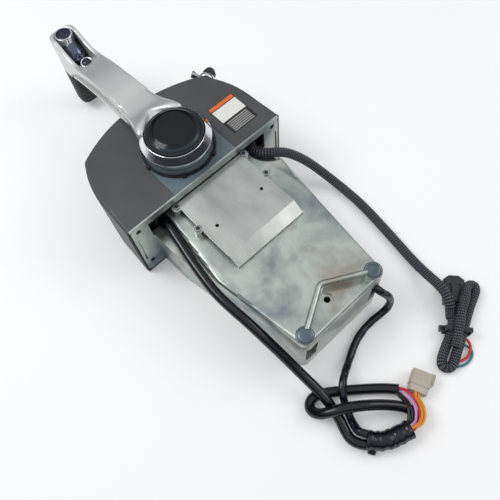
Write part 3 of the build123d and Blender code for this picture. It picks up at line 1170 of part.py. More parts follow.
NODES = {
    "near_cover": near_cover,
    "far_cover": far_cover,
    "dome_screws": dome_screws,
    "deck_rim": deck_rim,
    "centre_panel": centre_panel,
    "lug_ring": lug_ring,
    "shaft_seal": shaft_seal,
    "lower_case": lower_case,
    "case_back": case_back,
    "cover_plate": cover_plate,
    "cover_plate_screws": cover_plate_screws,
    "bearing_frame": bearing_frame,
    "shaft_bushes": shaft_bushes,
    "main_shaft": main_shaft,
    "shaft_clip": shaft_clip,
    "drive_gear": lambda: involute_gear(DRIVE_TEETH, SHAFT_R, 0),
    "detent_disc": detent_disc,
    "detent_pin": detent_pin,
    "detent_block": detent_block,
    "shift_gear": shift_gear,
    "shift_shaft": shift_shaft,
    "shift_arm": shift_arm,
    "shift_stud": lambda: cable_stud(0, -shift_centre() - SHIFT_ARM_L, SHIFT_ARM_Z),
    "throttle_gear": throttle_gear,
    "throttle_shaft": throttle_shaft,
    "throttle_arm": throttle_arm,
    "throttle_stud": lambda: cable_stud(-throttle_centre(), -THROTTLE_ARM_L, THROTTLE_ARM_Z),
    "neutral_switch": neutral_switch,
    "lever_arm": lever_arm,
    "arm_back_plate": arm_back_plate,
    "bezel_ring": bezel_ring,
    "hub_skirt": hub_skirt,
    "cap_ring": cap_ring,
    "hub_cap": hub_cap,
    "hub_screw": hub_screw,
    "cap_spring": cap_spring,
    "rubber_grip": rubber_grip,
    "plunger_barrel": plunger_barrel,
    "barrel_spring": barrel_spring,
    "trim_button": trim_button,
    "trim_bezel": trim_bezel,
    "switch_body": switch_body,
    "switch_nut": switch_nut,
    "stop_toggle": stop_toggle,
    "stop_clip": stop_clip,
    "cable_glands": cable_glands,
    "main_harness": lambda: cord("main_harness", HARNESS_ROUTE, HARNESS_R),
    "harness_trunk": harness_trunk,
    "harness_loop": lambda: cord("harness_loop", LOOP_ROUTE, HARNESS_R),
    "switch_lead": lambda: cord("switch_lead", LEAD_ROUTE, LEAD_R),
    "braided_lead": lambda: cord("braided_lead", BRAID_ROUTE, BRAID_R),
    "red_wire": lambda: cord("red_wire", RED_ROUTE, WIRE_R),
    "pink_wire": lambda: cord("pink_wire", PINK_ROUTE, WIRE_R),
    "orange_wire": lambda: cord("orange_wire", ORANGE_ROUTE, WIRE_R),
    "braided_hank": braided_hank,
    "zip_tie": zip_tie,
    "grey_connector": grey_connector,
    "black_connector": black_connector,
}

os.makedirs("parts", exist_ok=True)
for node_name, make in NODES.items():
    write_node(node_name, make())
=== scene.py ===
# Boat throttle control lever: its looks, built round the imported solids. Lengths are in metres.
import math

import bmesh
import bpy
import numpy as np
from mathutils import Matrix, Vector


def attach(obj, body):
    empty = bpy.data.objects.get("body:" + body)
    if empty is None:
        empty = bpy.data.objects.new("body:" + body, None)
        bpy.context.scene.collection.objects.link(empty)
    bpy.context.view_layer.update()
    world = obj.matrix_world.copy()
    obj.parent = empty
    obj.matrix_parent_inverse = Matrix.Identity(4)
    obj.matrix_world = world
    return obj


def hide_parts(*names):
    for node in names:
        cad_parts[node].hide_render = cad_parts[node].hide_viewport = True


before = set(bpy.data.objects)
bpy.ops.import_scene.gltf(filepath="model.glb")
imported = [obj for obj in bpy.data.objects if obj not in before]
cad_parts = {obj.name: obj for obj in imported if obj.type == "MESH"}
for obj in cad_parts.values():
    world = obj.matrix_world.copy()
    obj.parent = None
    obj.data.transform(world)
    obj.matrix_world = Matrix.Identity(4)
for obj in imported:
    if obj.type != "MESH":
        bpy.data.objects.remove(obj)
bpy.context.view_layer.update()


# Camera. The photograph is taken from above the lower left of the control, which lies on its side.
# The place and the two directions come from fitting the flange, the hub's circle and the bench.
camera_place = Vector((-0.1386, -0.2860, 0.4830))
camera_right = Vector((0.7321, -0.6784, -0.0624)).normalized()
camera_ahead = Vector((0.2536, 0.3564, -0.8993)).normalized()
camera_right = (camera_right - camera_right.dot(camera_ahead) * camera_ahead).normalized()
camera_up = camera_right.cross(camera_ahead)
camera_data = bpy.data.cameras.new("camera")
camera_data.lens = 37.84
camera_data.sensor_width = 36.0
camera_data.clip_start = 0.01
camera = bpy.data.objects.new("camera", camera_data)
turn = Matrix((camera_right, camera_up, -camera_ahead)).transposed()
camera.matrix_world = Matrix.Translation(camera_place) @ turn.to_4x4()
bpy.context.scene.collection.objects.link(camera)
bpy.context.scene.camera = camera
bpy.context.scene.view_settings.view_transform = "Standard"


# Bench: a sweep of matt white paper, a little brighter to the camera than to the rest of the scene.
# Every material is a tree of nodes, and its colours are sRGB hex, as read off a colour chart.
def linear(hex_colour):
    """The linear RGBA colour of an sRGB hex value."""
    parts = np.array([int(hex_colour[i:i + 2], 16) for i in (1, 3, 5)]) / 255
    return (*np.where(parts <= 0.04045, parts / 12.92, ((parts + 0.055) / 1.055) ** 2.4), 1.0)


def add(tree, kind, inputs=None, **settings):
    """Adds a node with its settings. inputs maps a socket to a value or to another node's output."""
    made = tree.nodes.new(kind)
    for name, value in settings.items():
        setattr(made, name, value)
    for socket, value in (inputs or {}).items():
        if isinstance(value, bpy.types.NodeSocket):
            tree.links.new(value, made.inputs[socket])
        else:
            made.inputs[socket].default_value = value
    return made


def new_material(name):
    """An empty material with a surface shader: returns the material, its tree and the shader."""
    material = bpy.data.materials.new(name)
    material.use_nodes = True
    tree = material.node_tree
    tree.nodes.clear()
    shader = add(tree, "ShaderNodeBsdfPrincipled")
    add(tree, "ShaderNodeOutputMaterial", {"Surface": shader.outputs["BSDF"]})
    return material, tree, shader


floor_mesh = bpy.data.meshes.new("floor")
reach, bench_z = 6.0, -0.0005
corners = ((-1, -1), (1, -1), (1, 1), (-1, 1))
floor_mesh.from_pydata([(x * reach, y * reach, bench_z) for x, y in corners], [], [(0, 1, 2, 3)])
floor = bpy.data.objects.new("floor", floor_mesh)
bpy.context.scene.collection.objects.link(floor)
floor_paper, tree, shader = new_material("white_paper_sweep")
shader.inputs["Base Color"].default_value = linear("#F2F2F2")
shader.inputs["Roughness"].default_value = 0.9
shader.inputs["Specular IOR Level"].default_value = 0.0
path = add(tree, "ShaderNodeLightPath")
glow = add(tree, "ShaderNodeEmission", {"Color": (1, 1, 1, 1), "Strength": 0.14})
seen = add(tree, "ShaderNodeMath", {0: path.outputs["Is Camera Ray"],
                                    1: path.outputs["Is Glossy Ray"]}, operation="MAXIMUM")
dark = add(tree, "ShaderNodeEmission", {"Color": (0, 0, 0, 1), "Strength": 0.0})
lift = add(tree, "ShaderNodeMixShader", {0: seen.outputs[0], 1: dark.outputs[0], 2: glow.outputs[0]})
both = add(tree, "ShaderNodeAddShader", {0: shader.outputs[0], 1: lift.outputs[0]})
out = next(n for n in tree.nodes if n.type == "OUTPUT_MATERIAL")
tree.links.new(both.outputs[0], out.inputs["Surface"])
floor_mesh.materials.append(floor_paper)


# Light: a pale sky overhead with a dark wall all round, which the plated pieces mirror, and two soft
# boxes. The camera itself sees plain pale grey in place of the sky.
def ramp(tree, source, *stops):
    """A colour ramp over source, with stops of (position, sRGB hex)."""
    made = add(tree, "ShaderNodeValToRGB", {"Fac": source})
    elements = made.color_ramp.elements
    while len(elements) < len(stops):
        elements.new(0.5)
    for element, (position, colour) in zip(elements, stops):
        element.position = position
        element.color = linear(colour)
    return made.outputs["Color"]


world = bpy.data.worlds.new("studio")
bpy.context.scene.world = world
world.use_nodes = True
tree = world.node_tree
tree.nodes.clear()
direction = add(tree, "ShaderNodeTexCoord")
height = add(tree, "ShaderNodeSeparateXYZ", {0: direction.outputs["Generated"]})
sky = ramp(tree, height.outputs["Z"], (0.0, "#84868A"), (0.14, "#3A3D42"), (0.34, "#34373D"),
           (0.56, "#B0B2B5"), (0.8, "#E6E7E9"))
path = add(tree, "ShaderNodeLightPath")
shown = add(tree, "ShaderNodeMix", {"Factor": path.outputs["Is Camera Ray"], 6: sky,
                                    7: linear("#F7F7F7")}, data_type="RGBA")
background = add(tree, "ShaderNodeBackground", {"Color": shown.outputs[2], "Strength": 1.0})
add(tree, "ShaderNodeOutputWorld", {"Surface": background.outputs[0]})

lit_spot = Vector((0, -0.08, 0.05))


def soft_box(name, place, size, power):
    """A square lamp of a size in metres and a power in watts, turned from its place to the lit spot."""
    lamp = bpy.data.lights.new(name, "AREA")
    lamp.shape = "SQUARE"
    lamp.size = size
    lamp.energy = power
    made = bpy.data.objects.new(name, lamp)
    made.rotation_mode = "QUATERNION"
    made.location = place
    made.rotation_quaternion = (lit_spot - Vector(place)).to_track_quat("-Z", "Y")
    bpy.context.scene.collection.objects.link(made)


soft_box("key_box", (-0.5, 0.5, 1.1), 0.6, 6.0)
soft_box("fill_box", (0.9, -0.7, 0.9), 0.8, 4.0)


# Main harness: wires in a jacket of black PVC, extruded over them. It leaves the left window, runs down
# beside the case to the bench and ends in the trunk, where tape binds it to the loop, the switch lead
# and the wires of the grey connector.
def nurbs_curve(name, route, radius=0.0):
    """A clamped NURBS curve of order 3 with the route's points as its control points."""
    data = bpy.data.curves.new(name, "CURVE")
    data.dimensions = "3D"
    spline = data.splines.new("NURBS")
    spline.points.add(len(route) - 1)
    spline.points.foreach_set("co", np.column_stack((np.array(route), np.ones(len(route)))).ravel())
    spline.order_u = 3
    spline.use_endpoint_u = True
    data.resolution_u = 12
    data.bevel_depth = radius
    data.bevel_resolution = 6
    data.use_fill_caps = radius > 0
    made = bpy.data.objects.new(name, data)
    bpy.context.scene.collection.objects.link(made)
    return made


def centre_line(route, step=0.0005):
    """Points of the route's NURBS curve, evenly spaced about a step in metres apart."""
    curve = nurbs_curve("line", route)
    mesh = bpy.data.meshes.new_from_object(curve)
    line = np.empty(len(mesh.vertices) * 3)
    mesh.vertices.foreach_get("co", line)
    line = line.reshape(-1, 3)
    bpy.data.objects.remove(curve)
    bpy.data.meshes.remove(mesh)
    along = np.concatenate(([0], np.cumsum(np.linalg.norm(np.diff(line, axis=0), axis=1))))
    even = np.linspace(0, along[-1], max(3, int(along[-1] / step)))
    return np.column_stack([np.interp(even, along, line[:, k]) for k in range(3)])


def grid_faces(rows, columns, closed):
    """Quads over a grid of rows by columns; closed joins the last column to the first."""
    i, j = np.meshgrid(np.arange(rows - 1), np.arange(columns if closed else columns - 1),
                       indexing="ij")
    k = (j + 1) % columns
    return np.stack((i * columns + j, i * columns + k, (i + 1) * columns + k, (i + 1) * columns + j),
                    axis=-1).reshape(-1, 4)


def tube(name, line, radius, sides, material, flat=1.0):
    """A closed tube round a line: each of its points plus radius(way along, angle) times (cos, sin) of
    the angle, across the line. flat scales the cos part, which lies level. The UV map holds the way
    along in metres and the angle in turns."""
    ahead = np.gradient(line, axis=0)
    ahead /= np.linalg.norm(ahead, axis=1)[:, None]
    side = np.cross(ahead, (0, 0, 1.0))
    side /= np.linalg.norm(side, axis=1)[:, None]
    up = np.cross(side, ahead)
    along = np.concatenate(([0], np.cumsum(np.linalg.norm(np.diff(line, axis=0), axis=1))))
    angle = np.arange(sides) / sides * 2 * np.pi
    r = np.broadcast_to(radius(along[:, None], angle[None, :]), (len(line), sides))
    points = (line[:, None, :] + r[..., None] * (
        np.cos(angle)[None, :, None] * side[:, None, :] * flat
        + np.sin(angle)[None, :, None] * up[:, None, :]))
    rows = len(line)
    caps = np.stack((line[0], line[-1]))
    points = np.concatenate((points.reshape(-1, 3), caps))
    faces = [tuple(f) for f in grid_faces(rows, sides, True)[:, ::-1]]
    first, last = rows * sides, rows * sides + 1
    ring = np.arange(sides)
    faces += [(first, int(a), int(b)) for a, b in zip(ring, np.roll(ring, -1))]
    base = (rows - 1) * sides
    faces += [(last, int(base + b), int(base + a)) for a, b in zip(ring, np.roll(ring, -1))]
    mesh = bpy.data.meshes.new(name)
    mesh.from_pydata(points.tolist(), [], faces)
    corner = np.empty(len(mesh.loops), int)
    mesh.loops.foreach_get("vertex_index", corner)
    u = np.append(np.repeat(along, sides), (along[0], along[-1]))[corner]
    v = np.append(np.tile(angle / (2 * np.pi), rows), (0.5, 0.5))[corner]
    start = np.empty(len(mesh.polygons), int)
    mesh.polygons.foreach_get("loop_start", start)
    size = np.empty(len(mesh.polygons), int)
    mesh.polygons.foreach_get("loop_total", size)
    low = np.minimum.reduceat(v, start)
    v = np.where((np.repeat(np.maximum.reduceat(v, start) - low, size) > 0.5) & (v < 0.5), v + 1, v)
    layer = mesh.uv_layers.new(name="UVMap")
    layer.data.foreach_set("uv", np.column_stack((u, v)).ravel())
    mesh.polygons.foreach_set("use_smooth", [True] * len(mesh.polygons))
    mesh.materials.append(material)
    mesh.update()
    made = bpy.data.objects.new(name, mesh)
    bpy.context.scene.collection.objects.link(made)
    return made


# Extruded PVC: deep black with a wet-looking gloss and a faint orange peel.
jacket_pvc, tree, shader = new_material("extruded_pvc_jacket")
place = add(tree, "ShaderNodeTexCoord")
grain = add(tree, "ShaderNodeTexNoise", {"Vector": place.outputs["Object"], "Scale": 90.0,
                                         "Detail": 3.0})
tree.links.new(ramp(tree, grain.outputs["Fac"], (0.35, "#06070A"), (0.7, "#0C101A")),
               shader.inputs["Base Color"])
shader.inputs["Roughness"].default_value = 0.2
bump = add(tree, "ShaderNodeBump", {"Height": grain.outputs["Fac"], "Strength": 0.25,
                                    "Distance": 0.0004})
tree.links.new(bump.outputs[0], shader.inputs["Normal"])

# Vinyl tape, wound with a half overlap: glossy, with creases across the cord.
tape_vinyl, tree, shader = new_material("wound_vinyl_tape")
place = add(tree, "ShaderNodeTexCoord")
wrinkle = add(tree, "ShaderNodeMapping", {"Vector": place.outputs["UV"], "Scale": (160.0, 3.0, 1.0)})
crease = add(tree, "ShaderNodeTexNoise", {"Vector": wrinkle.outputs[0], "Scale": 1.0, "Detail": 4.0,
                                          "Distortion": 1.2})
tree.links.new(ramp(tree, crease.outputs["Fac"], (0.4, "#070A12"), (0.75, "#141B2C")),
               shader.inputs["Base Color"])
shader.inputs["Roughness"].default_value = 0.2
bump = add(tree, "ShaderNodeBump", {"Height": crease.outputs["Fac"], "Strength": 0.8,
                                    "Distance": 0.0008})
tree.links.new(bump.outputs[0], shader.inputs["Normal"])

harness_radius, trunk_radius = 0.0047, 0.0088
harness_route = (
    (-0.0566, -0.0362, 0.0595), (-0.0566, -0.048, 0.0595), (-0.0596, -0.066, 0.059),
    (-0.0636, -0.088, 0.0588), (-0.0663, -0.107, 0.0588), (-0.0684, -0.126, 0.0576),
    (-0.0676, -0.146, 0.057), (-0.0652, -0.166, 0.0535), (-0.0632, -0.184, 0.046),
    (-0.0606, -0.201, 0.035), (-0.0586, -0.217, 0.0246), (-0.057, -0.2316, 0.0174),
    (-0.0564, -0.243, 0.0154), (-0.0566, -0.2526, 0.0126), (-0.0574, -0.262, 0.0074),
    (-0.0592, -0.2716, 0.0052), (-0.0627, -0.2804, 0.0049), (-0.0644, -0.288, 0.0056),
    (-0.0625, -0.2946, 0.007), (-0.05862, -0.29984, 0.007),
)
trunk_route = (
    (-0.0555, -0.2975, 0.0091), (-0.0507, -0.3039, 0.0091), (-0.0434, -0.3096, 0.009),
    (-0.03402, -0.31344, 0.009), (-0.0225, -0.3168, 0.009),
)
# The tape's end stands out past the bend as a short flattened tail.
tape_tail_radius, tape_tail_taper = 0.0062, 0.22
tape_tail_route = ((-0.0495, -0.3012, 0.0085), (-0.0555, -0.3050, 0.0058), (-0.0604, -0.3082, 0.0044))


def creased(radius, pitch, depth):
    """Radius of a taped cord: the sum of four sine waves of the way along, their lengths no multiples
    of one another, each leaning round the cord. depth is the part of the radius that they take."""
    def at(along, angle):
        turns = 2 * np.pi * along / pitch
        wave = (0.40 * np.sin(turns + 1.5 * np.sin(angle)) + 0.28 * np.sin(1.62 * turns - angle)
                + 0.2 * np.sin(0.43 * turns + 2 * angle + 1.0) + 0.12 * np.sin(3.1 * turns + 3 * angle))
        return radius * (1 - depth + depth * wave)
    return at


main_harness = nurbs_curve("main_harness_jacket", harness_route, harness_radius)
main_harness.data.materials.append(jacket_pvc)
trunk = tube("harness_trunk_tape", centre_line(trunk_route),
             creased(trunk_radius, pitch=0.009, depth=0.075), sides=44, material=tape_vinyl)
tape_tail = tube("trunk_tail_tape", centre_line(tape_tail_route),
                 lambda along, angle: tape_tail_radius - tape_tail_taper * along, sides=24,
                 material=tape_vinyl)
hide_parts("main_harness")
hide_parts("harness_trunk")
for piece in (main_harness, trunk, tape_tail):
    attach(piece, "housing")

# Harness loop: the same jacket, carried on from the trunk in a wide loop over the harness and back to
# the bench, where its wires part for the grey connector.
loop_route = (
    (-0.02208, -0.31536, 0.005), (-0.0154, -0.3173, 0.005), (-0.0098, -0.3142, 0.0051),
    (-0.0088, -0.3072, 0.0066), (-0.0144, -0.2986, 0.0108), (-0.0252, -0.288, 0.0162),
    (-0.0364, -0.279, 0.0202), (-0.0464, -0.2716, 0.0214), (-0.0556, -0.2656, 0.0208),
    (-0.0646, -0.2606, 0.0176), (-0.071, -0.2552, 0.0118), (-0.0724, -0.2478, 0.0066),
    (-0.067, -0.2422, 0.0048), (-0.0586, -0.2424, 0.0048), (-0.0496, -0.248, 0.0048),
    (-0.0386, -0.2564, 0.0048), (-0.0282, -0.2648, 0.0048), (-0.018, -0.2734, 0.0048),
    (-0.0096, -0.2814, 0.006), (-0.0034, -0.2884, 0.006),
)
loop = nurbs_curve("harness_loop_jacket", loop_route, harness_radius)
loop.data.materials.append(jacket_pvc)
loop_line = centre_line(loop_route)
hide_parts("harness_loop")
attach(loop, "housing")

# Switch lead: two wires wound in the same vinyl tape, from the gland in the case's right end wall round
# behind the case and into the trunk.
lead_radius = 0.0038
lead_route = (
    (0.0398, -0.2155, 0.043), (0.0398, -0.2216, 0.043), (0.0446, -0.2266, 0.0354),
    (0.0492, -0.2302, 0.0244), (0.0494, -0.2322, 0.0126), (0.0426, -0.2324, 0.0054),
    (0.03, -0.2306, 0.0042), (0.016, -0.2308, 0.0042), (0.003, -0.2334, 0.0042),
    (-0.008, -0.238, 0.0042), (-0.018, -0.2426, 0.0066), (-0.027, -0.2466, 0.012),
    (-0.0354, -0.251, 0.0158), (-0.0426, -0.2572, 0.0146), (-0.0472, -0.2656, 0.0084),
    (-0.0506, -0.2746, 0.0044), (-0.0542, -0.2828, 0.0066), (-0.0559, -0.2898, 0.012),
    (-0.05206, -0.29492, 0.012),
)
lead_line = centre_line(lead_route)
lead = tube("switch_lead_tape", lead_line, creased(lead_radius, pitch=0.019, depth=0.06), sides=28,
            material=tape_vinyl)
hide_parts("switch_lead")
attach(lead, "housing")

# Sleeved lead: wires in an expandable sleeve of black polyester monofilament, braided in pairs that
# cross about every 2 mm on the real one, and wider here so that the render shows them. The grey on
# the strands' crests is painted highlight. It leaves the right window and ends in the hank.
sleeve_pet_painted_glint, tree, shader = new_material("braided_polyester_sleeve_painted_glint")
place = add(tree, "ShaderNodeTexCoord")
parts = add(tree, "ShaderNodeSeparateXYZ", {0: place.outputs["UV"]})
strand_pitch = 0.0052
strand_count = 9.0
length_turns = add(tree, "ShaderNodeMath", {0: parts.outputs["X"], 1: 2 * math.pi / strand_pitch},
                   operation="MULTIPLY")
round_turns = add(tree, "ShaderNodeMath", {0: parts.outputs["Y"], 1: 2 * math.pi * strand_count},
                  operation="MULTIPLY")
right_hand = add(tree, "ShaderNodeMath", {0: length_turns.outputs[0], 1: round_turns.outputs[0]},
                 operation="ADD")
left_hand = add(tree, "ShaderNodeMath", {0: length_turns.outputs[0], 1: round_turns.outputs[0]},
                operation="SUBTRACT")
right_wave = add(tree, "ShaderNodeMath", {0: right_hand.outputs[0]}, operation="SINE")
left_wave = add(tree, "ShaderNodeMath", {0: left_hand.outputs[0]}, operation="SINE")
weave = add(tree, "ShaderNodeMath", {0: right_wave.outputs[0], 1: left_wave.outputs[0]},
            operation="MULTIPLY")
weave_height_and_glint = add(tree, "ShaderNodeMapRange", {"Value": weave.outputs[0], "From Min": -1.0})
# The grey and pale grey on the crests of the weave are painted highlights where light catches the
# strands.
tree.links.new(ramp(tree, weave_height_and_glint.outputs[0], (0.5, "#07080B"), (0.8, "#3C424D"),
                    (0.95, "#7B828C")), shader.inputs["Base Color"])
shader.inputs["Roughness"].default_value = 0.38
bump = add(tree, "ShaderNodeBump", {"Height": weave_height_and_glint.outputs[0], "Strength": 0.7,
                                    "Distance": 0.0006})
tree.links.new(bump.outputs[0], shader.inputs["Normal"])


def woven(radius):
    """Radius of a braided sleeve: the product of two sine waves, of the way along plus and minus the
    angle, so strands of two hands rise and fall as they pass over each other."""
    def at(along, angle):
        right_turns = 2 * np.pi * along / strand_pitch + strand_count * angle
        left_turns = 2 * np.pi * along / strand_pitch - strand_count * angle
        return radius * (0.965 + 0.035 * np.sin(right_turns) * np.sin(left_turns))
    return at


sleeve_radius = 0.0048
braid_route = (
    (0.0575, -0.0362, 0.0595), (0.0575, -0.0454, 0.0595), (0.0664, -0.054, 0.0594),
    (0.0794, -0.0606, 0.055), (0.0908, -0.0674, 0.0436), (0.1006, -0.0754, 0.0306),
    (0.1086, -0.086, 0.0174), (0.1138, -0.1004, 0.0084), (0.1156, -0.118, 0.0052),
    (0.1148, -0.14, 0.005), (0.1114, -0.164, 0.005), (0.1072, -0.19, 0.005),
    (0.1028, -0.214, 0.0052), (0.0988, -0.234, 0.0088), (0.0956, -0.2486, 0.015),
    (0.0924, -0.2604, 0.0179), (0.0878, -0.2702, 0.0152), (0.0834, -0.27624, 0.0088),
    (0.0796, -0.2799, 0.0088),
)
sleeve_line = centre_line(braid_route)
sleeve = tube("braided_lead_sleeve", sleeve_line, woven(sleeve_radius), sides=72, material=sleeve_pet_painted_glint)
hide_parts("braided_lead")

# The lead's spare length is folded into a hank: down, round a bend, up to a tighter one and back under
# the tie. The sleeve stops there and four bare wires go on, out to one side and into the connector.
hank_radius, tail_sleeve_radius = 0.0046, 0.0031
red_loop_radius, teal_loop_radius = 0.00125, 0.0011
hank_route = (
    (0.0834, -0.2774, 0.0088), (0.0809, -0.2808, 0.009), (0.0737, -0.2862, 0.008),
    (0.0636, -0.2905, 0.0065), (0.0530, -0.2943, 0.0054), (0.0445, -0.2978, 0.005),
    (0.0402, -0.3024, 0.005), (0.0434, -0.3076, 0.005), (0.0498, -0.3072, 0.005),
    (0.0560, -0.3044, 0.0052), (0.0653, -0.3005, 0.006), (0.0739, -0.2968, 0.0066),
    (0.0820, -0.2931, 0.0066), (0.0954, -0.2872, 0.006), (0.1078, -0.2824, 0.0054),
    (0.1176, -0.2794, 0.0052), (0.1230, -0.2752, 0.0056), (0.1198, -0.2706, 0.0075),
    (0.1125, -0.2708, 0.0105), (0.1050, -0.2748, 0.0145), (0.0963, -0.2783, 0.0150),
    (0.0848, -0.2842, 0.0150), (0.0758, -0.2898, 0.0145), (0.0672, -0.2947, 0.0138),
    (0.0600, -0.2985, 0.0125),
)
connector_tail_route = (
    (0.0962, -0.2714, 0.006), (0.0915, -0.2765, 0.0068), (0.0870, -0.2806, 0.0095),
    (0.0805, -0.2850, 0.0125), (0.0745, -0.2885, 0.0145),
)
red_loop_route = (
    (0.0650, -0.2955, 0.012), (0.0728, -0.2985, 0.0062), (0.0765, -0.3020, 0.0045),
    (0.0744, -0.3078, 0.0035), (0.0680, -0.3118, 0.003), (0.0600, -0.3122, 0.003),
    (0.0540, -0.3085, 0.0035),
)
teal_loop_route = (
    (0.0700, -0.2990, 0.0030), (0.0730, -0.3060, 0.0016), (0.0720, -0.3128, 0.0014),
    (0.0650, -0.3158, 0.0014), (0.0560, -0.3152, 0.002), (0.0480, -0.3100, 0.0035),
)


def wire_insulation(name, colour):
    """Thin PVC wire insulation: bright, slightly waxy."""
    material, tree, shader = new_material(name)
    place = add(tree, "ShaderNodeTexCoord")
    streak = add(tree, "ShaderNodeTexNoise", {"Vector": place.outputs["Object"], "Scale": 60.0})
    shade = add(tree, "ShaderNodeHueSaturation", {"Color": linear(colour), "Saturation": 1.0})
    level = add(tree, "ShaderNodeMapRange", {"Value": streak.outputs["Fac"], "To Min": 0.85,
                                             "To Max": 1.1})
    tree.links.new(level.outputs[0], shade.inputs["Value"])
    tree.links.new(shade.outputs[0], shader.inputs["Base Color"])
    shader.inputs["Roughness"].default_value = 0.3
    return material


hank = tube("braided_hank_sleeve", centre_line(hank_route), woven(hank_radius), sides=60,
            material=sleeve_pet_painted_glint)
tail = tube("connector_tail_sleeve", centre_line(connector_tail_route), woven(tail_sleeve_radius),
            sides=48, material=sleeve_pet_painted_glint)
red_loop = nurbs_curve("red_spare_wire", red_loop_route, red_loop_radius)
red_loop.data.materials.append(wire_insulation("red_spare_pvc_insulation", "#D22A3C"))
teal_loop = nurbs_curve("teal_spare_wire", teal_loop_route, teal_loop_radius)
teal_loop.data.materials.append(wire_insulation("teal_pvc_insulation", "#1E7F86"))
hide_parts("braided_hank")
for piece in (sleeve, hank, tail, red_loop, teal_loop):
    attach(piece, "housing")

# Wires of the grey connector: single conductors in thin PVC insulation, fanned from the trunk's end to
# the loop's. Beside the orange one runs an amber one, and two black ones lie inside the bundle.
wire_radius = 0.0013
red_route = (
    (-0.00295, -0.288, 0.0084), (0.0, -0.29135, 0.0084), (0.0005, -0.297, 0.0092),
    (-0.0004, -0.3034, 0.0102), (-0.0036, -0.3098, 0.0128), (-0.0092, -0.3156, 0.0138),
    (-0.01724, -0.32021, 0.0138), (-0.023, -0.31853, 0.0138),
)
pink_route = (
    (-0.00445, -0.28933, 0.0064), (-0.0022, -0.29188, 0.0064), (-0.003, -0.2974, 0.0076),
    (-0.0037, -0.3038, 0.011), (-0.0072, -0.3094, 0.013), (-0.0114, -0.3134, 0.0129),
    (-0.0164, -0.3164, 0.013), (-0.02201, -0.31517, 0.013),
)
orange_route = (
    (0.00449, -0.29983, 0.0126), (0.00083, -0.30143, 0.0126), (-0.001, -0.3058, 0.0144),
    (-0.0038, -0.3114, 0.0164), (-0.0084, -0.316, 0.0172), (-0.013, -0.318, 0.017),
    (-0.01674, -0.31848, 0.0168), (-0.0225, -0.3168, 0.0168),
)
wires = {}
for colour_name, colour, route in (("red", "#D8203A", red_route), ("pink", "#D9A0D8", pink_route),
                                   ("orange", "#E88A1C", orange_route)):
    wire = nurbs_curve(colour_name + "_wire_insulation", route, wire_radius)
    wire.data.materials.append(wire_insulation(colour_name + "_pvc_insulation", colour))
    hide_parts(colour_name + "_wire")
    wires[colour_name] = wire
spare_wires = {}
for spare_name, colour, route, shift in (
        ("amber_spare_wire", "#F0A63A", orange_route, (0.0022, -0.0020, -0.0024)),
        ("black_spare_wire_1", "#0D0E11", pink_route, (-0.0026, 0.0020, -0.0012)),
        ("black_spare_wire_2", "#0D0E11", pink_route, (-0.0050, 0.0042, 0.0008))):
    spare = nurbs_curve(spare_name, [tuple(np.add(point, shift)) for point in route], wire_radius)
    spare.data.materials.append(wire_insulation(spare_name + "_pvc", colour))
    spare_wires[spare_name] = spare
for piece in (*wires.values(), *spare_wires.values()):
    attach(piece, "housing")


# Dome: two shells of ASA, moulded with a fine spark-eroded grain, over a rubber rim. The panel round
# the hub is a bluer grey and smoother, and its ring of lugs is black ABS.
def dress(material, *nodes):
    """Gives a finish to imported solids."""
    for name in nodes:
        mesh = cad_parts[name].data
        mesh.materials.clear()
        mesh.materials.append(material)


def merged_copy(node, material):
    """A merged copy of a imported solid, with its flat faces joined up."""
    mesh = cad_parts[node].data.copy()
    mesh.name = node + "_finished"
    work = bmesh.new()
    work.from_mesh(mesh)
    bmesh.ops.remove_doubles(work, verts=work.verts, dist=2e-6)
    bmesh.ops.dissolve_limit(work, angle_limit=math.radians(0.6), verts=work.verts, edges=work.edges)
    work.to_mesh(mesh)
    work.free()
    mesh.materials.clear()
    mesh.materials.append(material)
    made = bpy.data.objects.new(node + "_finished", mesh)
    bpy.context.scene.collection.objects.link(made)
    return made


def eased(node, material, width_mm, body="housing", steps=2, sharp=28.0):
    """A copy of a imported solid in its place, merged, smooth up to the sharp angle in degrees, and with
    its edges rounded over a width in millimetres, as a mould, a press or plating leaves them."""
    made = merged_copy(node, material)
    made.data.shade_smooth()
    made.data.set_sharp_from_angle(angle=math.radians(sharp))
    round_over = made.modifiers.new("round_over", "BEVEL")
    round_over.width = width_mm / 1000
    round_over.segments = steps
    round_over.limit_method = "ANGLE"
    round_over.angle_limit = math.radians(sharp)
    round_over.harden_normals = True
    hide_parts(node)
    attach(made, body)
    return made


def grained_plastic(name, dark, pale, rough, grain_mm, depth):
    """Moulded plastic with a spark-eroded grain of the given size in millimetres."""
    material, tree, shader = new_material(name)
    place = add(tree, "ShaderNodeTexCoord")
    grain = add(tree, "ShaderNodeTexNoise", {"Vector": place.outputs["Object"],
                                             "Scale": 1000.0 / grain_mm, "Detail": 3.0})
    cloud = add(tree, "ShaderNodeTexNoise", {"Vector": place.outputs["Object"], "Scale": 22.0})
    tree.links.new(ramp(tree, cloud.outputs["Fac"], (0.35, dark), (0.65, pale)),
                   shader.inputs["Base Color"])
    shader.inputs["Roughness"].default_value = rough
    bump = add(tree, "ShaderNodeBump", {"Height": grain.outputs["Fac"], "Strength": depth,
                                        "Distance": 0.0003})
    tree.links.new(bump.outputs[0], shader.inputs["Normal"])
    return material


dome_asa = grained_plastic("moulded_asa_dome", "#434446", "#4D4E50", rough=0.46,
                           grain_mm=0.5, depth=0.15)
panel_asa = grained_plastic("moulded_asa_panel", "#56656C", "#617077", rough=0.34,
                            grain_mm=0.5, depth=0.15)
black_abs = grained_plastic("moulded_abs_black", "#121315", "#1A1B1E", rough=0.4,
                            grain_mm=0.6, depth=0.2)
soft_rubber = grained_plastic("moulded_rubber", "#0E1114", "#171A1F", rough=0.55,
                              grain_mm=0.5, depth=0.3)
dress(dome_asa, "near_cover", "far_cover")
eased("centre_panel", panel_asa, 0.5)
eased("lug_ring", black_abs, 0.3)
dress(soft_rubber, "deck_rim", "shaft_seal", "cable_glands")

